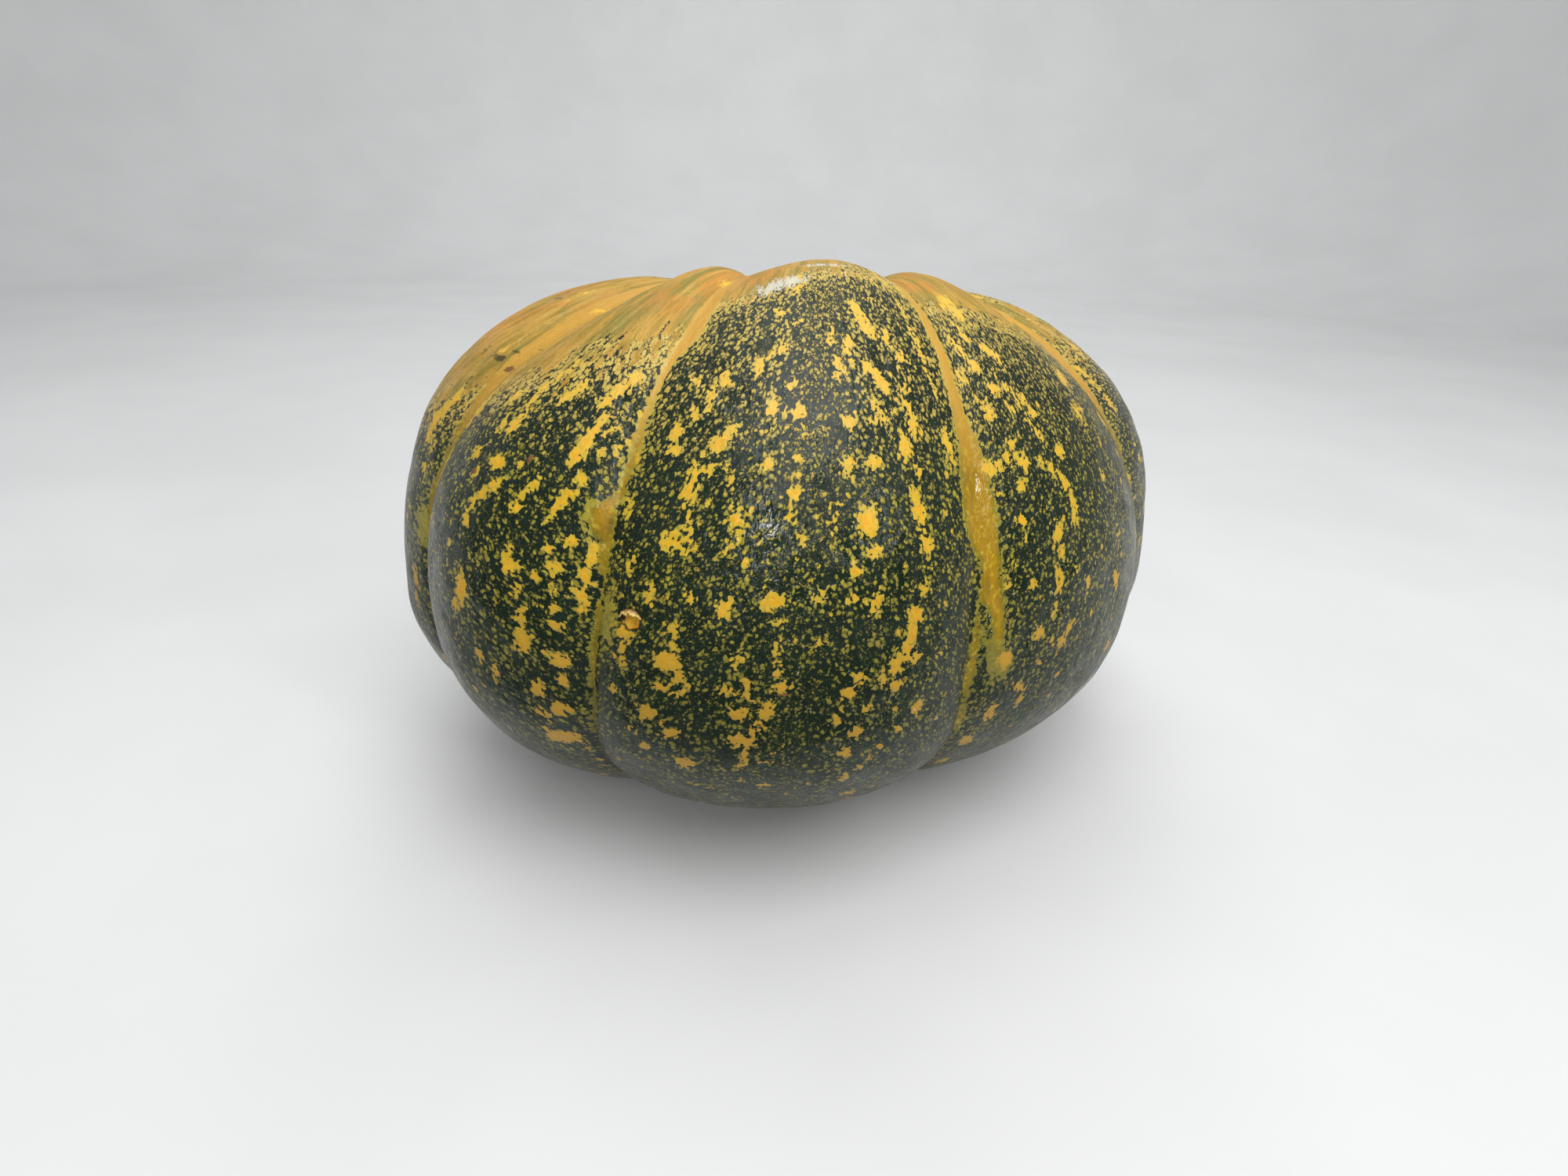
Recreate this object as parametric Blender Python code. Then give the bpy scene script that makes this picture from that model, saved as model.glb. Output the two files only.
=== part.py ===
"""A ribbed kabocha squash lying on its blossom end, with the short stub of its cut stem.

Run it with blender --background --python part.py, or from Blender's text editor.
Metres, +Z up. The origin is under the middle of the squash, on the surface that it
rests on. The front is -Y, and azimuths are counted from there, in degrees, towards +X.
"""

import math

import bmesh
import bpy
from mathutils import Vector

# The fruit's driving dimension. Its other sizes are shares of this half width.
HALF_WIDTH = 0.118
CROWN_HEIGHT = 0.77
CROWN_TAPER = 0.32
BELLY_DEPTH = 0.662
BELLY_TAPER = 0.66

# How far the fruit is from round: shares of its radius in plan, and of its crown's height
# beyond the lift radius.
PLAN_SIDE = 0.017
PLAN_LENGTH = -0.016
PLAN_SKEW = -0.078
CROWN_FRONT_LIFT = 0.130
CROWN_SIDE_LIFT = -0.008
CROWN_SADDLE = 0.022
CROWN_SKEW = 0.034
CROWN_LIFT_RADIUS = 0.26
SIDE_LEAN = -0.018
LEAN_START = 0.25

# The lobes, from the front left round by the right. Each has the seam on its left: its
# azimuth at the widest level, how far it leans there for each step of level, and how far
# it bows towards the stem end and towards the blossom end, in degrees. The last value is
# how far the lobe's shoulder swells, as a share of its radius.
LOBES = (
    (-55.0, -26.0, 50.0, 6.0, 0.010),
    (-24.0, 5.5, 1.6, -4.0, 0.032),
    (26.0, -0.5, 2.0, 2.5, 0.004),
    (79.0, 10.0, -43.0, -12.0, 0.024),
    (106.0, 3.0, -8.0, -6.0, 0.000),
    (137.0, -3.0, 2.0, 3.0, 0.018),
    (170.0, 4.0, 0.0, -2.0, 0.006),
    (204.0, -3.0, -2.0, 4.0, 0.016),
    (238.0, 2.0, 2.0, 0.0, 0.000),
    (271.0, -8.0, 18.0, 6.0, 0.034),
)
SWELL_AT_WAIST = 0.6
SEAM_DEPTH = 0.062
SEAM_FADE = 0.66
SEAM_SHARPNESS = 0.60
SEAM_ROUNDING = 0.55
SEAM_END_DEPTH = 0.036
SEAM_END_RADIUS = 0.40

# The hollows at the two ends, and the base, which the fruit's own weight has flattened.
STEM_HOLLOW_DEPTH = 0.18
STEM_HOLLOW_RADIUS = 0.31
BLOSSOM_HOLLOW_DEPTH = 0.06
BLOSSOM_HOLLOW_RADIUS = 0.22
BASE_LEVEL = 0.093
BASE_GIVE = 0.35
REST_FLAT = 0.0010

# The cut stem, which leans back with the floor of its hollow, and its socket.
STEM_HEIGHT = 0.020
STEM_ROOT_DEPTH = 0.006
STEM_RADIUS = 0.0085
STEM_ROOT_RADIUS = 0.0135
STEM_FLARE_HEIGHT = 0.0065
STEM_CORNERS = 5
STEM_CORNER_DEPTH = 0.10
STEM_LEAN = math.radians(14.0)
STEM_CUT_SLOPE = 0.12
FIT_GAP = 0.0003

# How finely the two meshes are divided.
COLUMNS_PER_LOBE = 9
RINGS = 40
STEM_SIDES = 40
STEM_CUTS = 9


def new_material(name, colour, roughness):
    """A plain Principled material."""
    material = bpy.data.materials.new(name)
    material.use_nodes = True
    shader = material.node_tree.nodes["Principled BSDF"]
    shader.inputs["Base Color"].default_value = (*colour, 1.0)
    shader.inputs["Roughness"].default_value = roughness
    shader.inputs["Metallic"].default_value = 0.0
    return material


def new_object(name, mesh, material, collection):
    """Turns a bmesh into a smooth object with this material."""
    data = bpy.data.meshes.new(name)
    mesh.to_mesh(data)
    mesh.free()
    data.shade_smooth()
    data.materials.append(material)
    made = bpy.data.objects.new(name, data)
    collection.objects.link(made)
    return made


def new_collection(name):
    """A collection of its own in the scene."""
    made = bpy.data.collections.new(name)
    bpy.context.scene.collection.children.link(made)
    return made


def seam_azimuth(index, level):
    """Azimuth of a seam at a level from -1, the blossom end, to 1, the stem end."""
    turns, place = divmod(index, len(LOBES))
    azimuth, lean, stem_bow, blossom_bow, _swell = LOBES[place]
    azimuth += 360.0 * turns
    if level < 0.0:
        return azimuth + lean * level * (1.0 + level) + blossom_bow * level * level
    return azimuth + lean * level + stem_bow * level * level


def plan_radius(azimuth):
    """The fruit isn't quite round in plan: a share of its half width."""
    side = PLAN_SIDE * math.sin(azimuth)
    oval = PLAN_LENGTH * math.cos(2.0 * azimuth) + PLAN_SKEW * math.sin(2.0 * azimuth)
    return 1.0 + side + oval


def crown_height(azimuth, radius):
    """The shoulders stand higher at the front, and less so near the axis."""
    lift = CROWN_FRONT_LIFT * math.cos(azimuth) + CROWN_SIDE_LIFT * math.sin(azimuth)
    lift += CROWN_SADDLE * math.cos(2.0 * azimuth) + CROWN_SKEW * math.sin(2.0 * azimuth)
    return CROWN_HEIGHT * (1.0 + lift * (1.0 - math.exp(-((radius / CROWN_LIFT_RADIUS) ** 2))))


def fruit_point(turn, polar):
    """The surface point for a share of a turn (0 to 1) and an angle from the stem end."""
    along = turn * len(LOBES)
    lobe = min(int(along), len(LOBES) - 1)
    across = along - lobe
    level = math.cos(polar)
    out = math.sin(polar) ** (2.0 * (CROWN_TAPER if level >= 0.0 else BELLY_TAPER))

    left = seam_azimuth(lobe, level)
    right = seam_azimuth(lobe + 1, level)
    azimuth = math.radians(left + (right - left) * across)
    rise = max(level, 0.0)
    sharpness = SEAM_SHARPNESS + SEAM_ROUNDING * rise
    bulge = math.sin(math.pi * across) ** sharpness if 0.0 < across < 1.0 else 0.0
    valley = 1.0 - bulge
    depth = SEAM_DEPTH * (1.0 - SEAM_FADE * rise)

    swell = LOBES[lobe][-1] * (SWELL_AT_WAIST + (1.0 - SWELL_AT_WAIST) * level)
    radius = out * plan_radius(azimuth) * (1.0 + swell * bulge - depth * valley)
    near_end = (radius - SEAM_END_RADIUS) / SEAM_END_RADIUS
    end_valley = 1.0 - SEAM_END_DEPTH * valley * math.exp(-near_end * near_end)

    if level >= 0.0:
        height = crown_height(azimuth, radius) * level
        height -= STEM_HOLLOW_DEPTH * math.exp(-((radius / STEM_HOLLOW_RADIUS) ** 2))
        height = BELLY_DEPTH + height * end_valley
    else:
        height = BELLY_DEPTH + BELLY_DEPTH * level * end_valley
        if height < BASE_LEVEL:
            height = BASE_LEVEL - (BASE_LEVEL - height) * BASE_GIVE
        height += BLOSSOM_HOLLOW_DEPTH * math.exp(-((radius / BLOSSOM_HOLLOW_RADIUS) ** 2))
    height += SIDE_LEAN * radius * math.sin(azimuth) * min(1.0, height / LEAN_START)
    return HALF_WIDTH * Vector((radius * math.sin(azimuth), -radius * math.cos(azimuth), height))


def settle(mesh):
    """Centres the fruit over the origin and flattens it where it rests; returns the shift."""
    places = [vertex.co for vertex in mesh.verts]
    low = Vector(min(place[axis] for place in places) for axis in range(3))
    high = Vector(max(place[axis] for place in places) for axis in range(3))
    shift = -0.5 * (low + high)
    shift.z = -low.z - REST_FLAT
    for vertex in mesh.verts:
        vertex.co += shift
        vertex.co.z = max(vertex.co.z, 0.0)
    return shift


def build_fruit(collection):
    """The fruit, from a sphere with a column of points along every seam."""
    mesh = bmesh.new()
    columns = COLUMNS_PER_LOBE * len(LOBES)
    bmesh.ops.create_uvsphere(mesh, u_segments=columns, v_segments=RINGS, radius=1.0)
    for vertex in mesh.verts:
        turn = math.atan2(vertex.co.x, -vertex.co.y) / math.tau
        column = round(turn * columns) % columns
        vertex.co = fruit_point(column / columns, math.acos(max(-1.0, min(1.0, vertex.co.z))))
    shift = settle(mesh)
    skin = new_material("squash_skin", (0.030, 0.045, 0.022), 0.38)
    return new_object("fruit", mesh, skin, collection), shift


def stem_mesh(gap):
    """The cornered stub, flared at its root and cut off at a slope, grown by a gap."""
    mesh = bmesh.new()
    bmesh.ops.create_cone(
        mesh, segments=STEM_SIDES, radius1=1.0, radius2=1.0, depth=1.0, cap_ends=True
    )
    uprights = [edge for edge in mesh.edges if abs(edge.verts[0].co.z - edge.verts[1].co.z) > 0.5]
    bmesh.ops.subdivide_edges(mesh, edges=uprights, cuts=STEM_CUTS)
    bottom = -STEM_ROOT_DEPTH - gap
    for vertex in mesh.verts:
        height = bottom + (vertex.co.z + 0.5) * (STEM_HEIGHT + gap - bottom)
        angle = math.atan2(vertex.co.y, vertex.co.x)
        flare = math.exp(-((max(height, 0.0) / STEM_FLARE_HEIGHT) ** 2))
        radius = STEM_RADIUS + (STEM_ROOT_RADIUS - STEM_RADIUS) * flare
        radius *= 1.0 + STEM_CORNER_DEPTH * math.cos(STEM_CORNERS * angle)
        radius += gap
        place = Vector((radius * math.cos(angle), radius * math.sin(angle), height))
        place.z += STEM_CUT_SLOPE * place.x * max(height, 0.0) / STEM_HEIGHT
        vertex.co = place
    return mesh


def build_stem(collection, cutters, fruit, shift):
    """The stem, standing in a socket in the floor of the hollow."""
    cork = new_material("corky_stem", (0.30, 0.24, 0.14), 0.80)
    stem = new_object("stem", stem_mesh(0.0), cork, collection)
    socket = new_object("stem_socket_cutter", stem_mesh(FIT_GAP), cork, cutters)
    socket.hide_render = True
    socket.display_type = "WIRE"
    for piece in (stem, socket):
        piece.location = shift + fruit_point(0.0, 0.0)
        piece.rotation_euler.x = -STEM_LEAN
    cut = fruit.modifiers.new("stem_socket", "BOOLEAN")
    cut.operation = "DIFFERENCE"
    cut.solver = "EXACT"
    cut.object = socket


def main():
    for old in list(bpy.data.objects):
        bpy.data.objects.remove(old)
    squash = new_collection("kabocha_squash")
    cutters = new_collection("cutters")
    fruit, shift = build_fruit(squash)
    build_stem(squash, cutters, fruit, shift)


main()
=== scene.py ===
"""The looks of a ribbed kabocha squash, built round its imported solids.

Metres, +Z up. The front is -Y. Azimuths are counted from there, in degrees, towards +X, and
polar angles from the stem end, in degrees. A place on the rind is given as along, which counts
the lobes from the front left round by the right and whose whole numbers are the furrows, and
as polar. Patterns on the rind are drawn in millimetres.
"""

import math

import bmesh
import bpy
import numpy as np
from mathutils import Matrix, Vector, noise


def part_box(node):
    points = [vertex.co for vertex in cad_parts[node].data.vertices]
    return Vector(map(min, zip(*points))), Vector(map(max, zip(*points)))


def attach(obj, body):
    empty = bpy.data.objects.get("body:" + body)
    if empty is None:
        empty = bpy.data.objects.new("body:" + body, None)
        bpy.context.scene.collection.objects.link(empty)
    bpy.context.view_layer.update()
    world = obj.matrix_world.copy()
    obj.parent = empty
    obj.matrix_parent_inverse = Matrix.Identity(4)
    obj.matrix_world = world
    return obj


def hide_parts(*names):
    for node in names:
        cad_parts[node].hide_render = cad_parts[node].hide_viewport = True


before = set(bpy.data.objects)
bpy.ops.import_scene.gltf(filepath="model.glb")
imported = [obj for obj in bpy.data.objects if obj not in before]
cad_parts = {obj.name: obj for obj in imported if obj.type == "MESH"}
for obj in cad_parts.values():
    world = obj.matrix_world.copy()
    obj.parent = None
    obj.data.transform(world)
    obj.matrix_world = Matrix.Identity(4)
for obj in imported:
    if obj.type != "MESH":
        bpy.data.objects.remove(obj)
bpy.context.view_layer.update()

bl_info = {
    "name": "Kabocha squash",
    "version": (1, 0, 0),
    "blender": (4, 5, 0),
    "location": "3D View > Sidebar > Squash",
    "description": "Rind, flap of peel, stem stub and studio stage for a kabocha squash",
    "category": "Object",
}

MM = 0.001

# The fruit's form. HALF_WIDTH is in metres, and the rest are shares of it.
HALF_WIDTH = 0.118
CROWN_HEIGHT = 0.77
CROWN_TAPER = 0.32
BELLY_DEPTH = 0.662
BELLY_TAPER = 0.66
PLAN_SIDE = 0.017
PLAN_LENGTH = -0.016
PLAN_SKEW = -0.078
CROWN_FRONT_LIFT = 0.130
CROWN_SIDE_LIFT = -0.008
CROWN_SADDLE = 0.022
CROWN_SKEW = 0.034
CROWN_LIFT_RADIUS = 0.26
SIDE_LEAN = -0.018
LEAN_START = 0.25

# The lobes, from the front left round by the right. Each has the furrow on its left: its
# azimuth at the widest level, how far it leans there for each step of level, and how far it
# bows towards the stem end and towards the blossom end. The last value is the lobe's swell.
LOBES = (
    (-55.0, -26.0, 50.0, 6.0, 0.010),
    (-24.0, 5.5, 1.6, -4.0, 0.032),
    (26.0, -0.5, 2.0, 2.5, 0.004),
    (79.0, 10.0, -43.0, -12.0, 0.024),
    (106.0, 3.0, -8.0, -6.0, 0.000),
    (137.0, -3.0, 2.0, 3.0, 0.018),
    (170.0, 4.0, 0.0, -2.0, 0.006),
    (204.0, -3.0, -2.0, 4.0, 0.016),
    (238.0, 2.0, 2.0, 0.0, 0.000),
    (271.0, -8.0, 18.0, 6.0, 0.034),
)
SWELL_AT_WAIST = 0.6
SEAM_DEPTH = 0.062
SEAM_FADE = 0.66
SEAM_SHARPNESS = 0.60
SEAM_ROUNDING = 0.55
SEAM_END_DEPTH = 0.036
SEAM_END_RADIUS = 0.40
STEM_HOLLOW_DEPTH = 0.18
STEM_HOLLOW_RADIUS = 0.31
BLOSSOM_HOLLOW_DEPTH = 0.06
BLOSSOM_HOLLOW_RADIUS = 0.22
BASE_LEVEL = 0.093
BASE_GIVE = 0.35
REST_FLAT = 0.0010  # metres

# The stem stub, in metres, as it stands before it leans back.
STEM_HEIGHT = 0.020
STEM_ROOT_DEPTH = 0.006
STEM_RADIUS = 0.0085
STEM_ROOT_RADIUS = 0.0135
STEM_FLARE_HEIGHT = 0.0065
STEM_CORNERS = 5
STEM_CORNER_DEPTH = 0.10
STEM_LEAN = math.radians(14.0)
STEM_CUT_SLOPE = 0.12
STEM_SIDES = 160
STEM_CUTS = 44
END_RINGS = 12
END_RING_WIDTH = 0.08  # as a share of the end's radius

# The rind's mesh: each lobe's columns, which lie closer on the lobes whose flecks are listed
# below, and its rings, which lie closer above the waist. RING_STOPS holds a ring's number and its
# polar angle.
COLUMNS = (80, 80, 80, 28, 28, 28, 28, 28, 28, 34)
RING_STOPS = ((0, 0.0), (8, 3.0), (16, 8.0), (32, 20.0), (172, 100.0), (222, 180.0))

# Bands of paler rind along the furrows: the furrow's number, then for each polar angle how far
# the band reaches, as shares of a lobe, from the furrow to its left and to its right.
BANDS = (
    (0, ((14, -0.16, 0.05), (40, -0.10, 0.0), (50, -0.06, 0.02), (60, -0.02, 0.045),
         (70, -0.04, 0.03), (75, -0.04, 0.02), (85, -0.03, 0.02), (105, -0.015, 0.01))),
    (1, ((16, -0.04, 0.08), (30, -0.03, 0.07), (35, -0.005, 0.065), (40, -0.025, 0.016),
         (45, -0.03, 0.006), (55, -0.02, 0.014), (60.5, -0.03, 0.01), (62, -0.09, 0.0),
         (65, -0.08, 0.0), (67, -0.030, 0.008),
         (72, -0.006, 0.010), (78, -0.010, 0.012), (90, -0.007, 0.005), (104, -0.004, 0.003))),
    (2, ((14, -0.15, -0.07), (30, -0.075, -0.015), (40, -0.070, -0.015), (45, -0.065, -0.015),
         (50, -0.060, 0.01), (55, -0.055, 0.04), (60, -0.055, 0.062), (65, -0.045, 0.075),
         (68, -0.020, 0.075), (70, 0.010, 0.075), (76, 0.014, 0.085), (79, 0.050, 0.095),
         (85, 0.065, 0.095), (88, 0.08, 0.095))),
    (2, ((75, 0.0, 0.06), (77.5, 0.0, 0.032), (82, 0.0, 0.026), (90, 0.0, 0.017),
         (112, 0.0, 0.010))),
    (3, ((16, -0.05, 0.08), (36, -0.09, 0.08), (43, -0.04, 0.06), (52, -0.02, 0.03),
         (65, -0.015, 0.03), (80, -0.03, 0.02), (105, -0.015, 0.015))),
)
# Single flecks: along, polar, half width and half length in millimetres.
FLECKS = (
    # Lobe 1, from its shoulder down to its waist.
    (1.340, 32.0, 1.2, 1.6), (1.390, 34.2, 1.6, 0.9), (1.355, 38.7, 1.4, 1.9),
    (1.310, 41.3, 1.4, 2.2), (1.515, 37.3, 0.9, 2.2), (1.570, 38.2, 1.6, 2.4),
    (1.580, 40.6, 1.2, 1.2), (1.540, 42.0, 1.5, 2.8), (1.720, 37.0, 1.3, 2.2),
    (1.765, 40.5, 1.4, 2.6), (1.655, 47.5, 1.4, 2.0), (1.670, 49.0, 2.6, 1.5),
    (1.765, 45.0, 0.9, 2.4), (1.580, 49.2, 1.9, 1.9), (1.430, 47.9, 2.1, 1.9),
    (1.355, 47.2, 1.7, 2.8), (1.405, 44.2, 1.6, 1.6), (1.120, 43.3, 1.8, 1.6),
    (1.215, 43.8, 1.6, 1.2), (1.145, 48.2, 1.3, 1.8), (1.110, 51.0, 1.8, 2.4),
    (1.120, 53.6, 1.9, 1.5), (1.235, 52.3, 2.2, 2.2), (1.270, 55.2, 1.8, 1.6),
    (1.285, 57.0, 1.0, 1.6), (1.225, 55.6, 1.4, 1.4), (1.370, 54.6, 2.0, 1.8),
    (1.445, 54.2, 1.4, 1.2), (1.450, 56.0, 1.5, 1.4), (1.447, 58.3, 2.0, 2.2),
    (1.580, 55.2, 1.9, 3.0), (1.645, 54.8, 2.1, 2.2), (1.745, 53.2, 1.9, 3.6),
    (1.785, 56.3, 1.2, 1.8), (1.340, 50.3, 1.3, 0.9), (1.450, 50.5, 1.5, 0.8),
    (1.010, 55.0, 1.2, 2.2), (1.030, 62.0, 1.2, 2.6), (1.185, 58.3, 1.8, 5.0),
    (1.165, 65.3, 2.8, 2.6), (1.205, 64.2, 1.2, 4.8), (1.070, 69.0, 1.5, 2.2),
    (1.140, 72.6, 1.3, 2.6), (1.235, 71.8, 1.4, 1.3), (1.320, 72.8, 2.2, 2.6),
    (1.425, 71.8, 3.2, 2.4), (1.440, 74.5, 1.2, 3.5), (1.445, 78.0, 1.3, 2.6),
    (1.525, 71.2, 1.8, 1.8), (1.602, 71.8, 1.6, 1.6), (1.668, 73.0, 1.8, 4.0),
    (1.540, 77.2, 0.9, 1.2), (1.360, 79.3, 1.8, 1.7), (1.315, 61.8, 2.0, 2.6),
    (1.328, 63.6, 1.2, 1.5), (1.303, 65.5, 1.4, 1.8), (1.350, 67.0, 1.5, 1.7),
    (1.345, 59.8, 1.4, 1.5), (1.442, 61.3, 1.5, 1.5), (1.470, 63.8, 1.2, 2.2),
    (1.548, 62.2, 1.0, 2.2), (1.633, 62.2, 2.8, 4.0), (1.608, 68.4, 1.6, 2.4),
    (1.648, 66.1, 2.0, 1.8), (1.572, 59.4, 1.1, 1.0), (1.385, 64.2, 1.0, 0.8),
    (1.790, 64.2, 1.1, 1.8), (1.805, 66.8, 2.2, 2.8), (1.818, 69.3, 1.0, 1.8),
    (1.810, 72.4, 1.4, 2.6), (1.775, 72.0, 0.9, 1.6), (1.785, 75.5, 2.6, 3.0),
    # Lobe 1, from its waist down to where it turns under.
    (1.085, 78.2, 2.8, 2.2), (1.090, 80.3, 1.5, 2.8), (1.085, 82.0, 1.6, 1.6),
    (1.208, 76.8, 1.8, 1.5), (1.200, 80.6, 3.6, 2.6), (1.215, 78.9, 1.2, 2.2),
    (1.235, 82.4, 1.8, 1.8), (1.452, 81.3, 1.0, 1.4), (1.461, 83.0, 2.8, 1.7),
    (1.350, 83.7, 2.6, 1.6), (1.390, 83.2, 1.1, 3.0), (1.244, 84.3, 1.5, 2.4),
    (1.200, 84.6, 1.6, 1.0), (1.378, 86.8, 2.2, 2.2), (1.375, 91.0, 2.0, 2.4),
    (1.163, 88.4, 2.8, 2.4), (1.230, 91.4, 2.6, 1.9), (1.130, 93.0, 1.0, 1.2),
    (1.165, 95.8, 1.3, 1.1), (1.260, 98.0, 2.8, 2.2), (1.440, 96.0, 1.3, 0.9),
    (1.500, 97.5, 1.0, 0.7), (1.380, 101.0, 1.2, 0.8), (1.450, 103.5, 2.4, 0.9),
    (1.540, 102.5, 1.8, 1.0), (1.300, 105.0, 2.0, 0.8), (1.390, 109.0, 1.8, 0.8),
    (1.635, 102.5, 1.6, 2.0), (1.635, 82.6, 2.0, 1.6), (1.620, 84.6, 1.8, 2.2),
    (1.615, 86.8, 1.4, 1.6), (1.600, 88.5, 1.4, 1.6), (1.645, 91.0, 2.2, 2.4),
    (1.630, 95.0, 2.2, 2.0), (1.668, 87.0, 1.4, 1.8), (1.700, 83.2, 0.9, 1.5),
    (1.868, 81.7, 1.2, 1.3), (1.790, 80.9, 1.8, 1.8), (1.735, 81.8, 2.2, 2.6),
    (1.740, 84.2, 1.6, 2.2), (1.810, 88.5, 1.4, 2.4), (1.690, 97.5, 1.6, 1.2),
    (1.680, 100.5, 1.6, 1.2), (1.760, 92.0, 1.2, 1.4), (1.070, 86.5, 1.6, 1.3),
    # Lobe 0.
    (0.330, 47.5, 1.6, 2.4), (0.875, 51.4, 1.6, 1.4), (0.880, 54.4, 1.2, 1.2),
    (0.945, 54.0, 1.0, 1.8), (0.350, 57.0, 1.8, 2.4), (0.500, 57.5, 2.6, 2.6),
    (0.410, 60.0, 1.6, 2.0), (0.390, 52.0, 1.2, 2.4), (0.850, 58.4, 1.5, 2.2),
    (0.460, 66.5, 1.4, 3.0), (0.880, 67.2, 2.0, 1.9), (0.815, 68.2, 1.4, 1.6),
    (0.700, 71.6, 3.2, 2.0), (0.685, 69.5, 1.2, 2.2), (0.735, 74.3, 1.5, 2.6),
    (0.850, 71.2, 1.7, 2.4), (0.795, 72.2, 1.8, 1.6), (0.880, 74.6, 1.7, 1.2),
    (0.920, 73.4, 0.9, 1.0), (0.862, 76.6, 1.8, 1.5), (0.882, 79.2, 1.8, 1.4),
    (0.765, 78.2, 1.5, 2.6), (0.775, 82.0, 2.4, 3.8), (0.855, 83.3, 1.1, 1.4),
    (0.902, 84.3, 2.2, 2.4), (0.905, 87.5, 1.8, 1.8), (0.510, 77.0, 2.4, 4.6),
    (0.590, 86.2, 1.6, 2.2), (0.820, 89.0, 1.8, 2.8), (0.895, 93.0, 2.4, 2.4),
    (0.820, 94.5, 2.2, 1.6), (0.870, 100.5, 4.6, 3.0), (0.655, 87.5, 1.2, 3.0),
    (0.480, 80.0, 1.6, 2.6),
    # Lobe 2.
    (2.110, 41.6, 1.6, 2.2), (2.270, 41.3, 1.4, 1.6), (2.025, 43.3, 1.6, 1.8),
    (2.165, 45.6, 1.8, 1.8), (2.100, 49.3, 1.8, 2.8), (2.215, 48.9, 1.3, 1.3),
    (2.295, 47.8, 1.2, 2.0), (2.315, 49.6, 2.6, 1.6), (2.160, 54.3, 1.8, 2.2),
    (2.140, 56.0, 2.0, 1.6), (2.185, 56.8, 2.4, 2.0), (2.200, 58.6, 1.2, 1.6),
    (2.375, 56.0, 1.8, 3.0), (2.275, 57.0, 1.0, 1.8), (2.163, 60.4, 1.7, 2.0),
    (2.080, 61.3, 1.0, 1.6), (2.150, 65.3, 1.7, 1.8), (2.285, 68.0, 2.4, 3.2),
    (2.285, 71.0, 1.4, 2.4), (2.335, 74.2, 1.0, 1.4), (2.175, 74.6, 1.6, 2.0),
    (2.095, 74.2, 1.3, 1.6), (2.385, 77.6, 1.2, 3.0), (2.205, 82.8, 1.8, 2.4),
    (2.220, 87.5, 1.2, 1.2), (2.165, 91.5, 2.0, 1.8), (2.115, 71.5, 1.0, 1.2),
    (2.160, 68.5, 0.9, 1.2), (2.590, 71.5, 1.2, 2.6), (2.660, 55.5, 1.2, 1.2),
    (2.100, 86.0, 2.4, 3.0), (2.100, 97.0, 1.6, 3.0), (2.190, 94.5, 1.4, 2.6),
    # Lobe 9.
    (9.870, 66.0, 1.5, 3.5), (9.870, 61.0, 1.8, 2.6),
)
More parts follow.
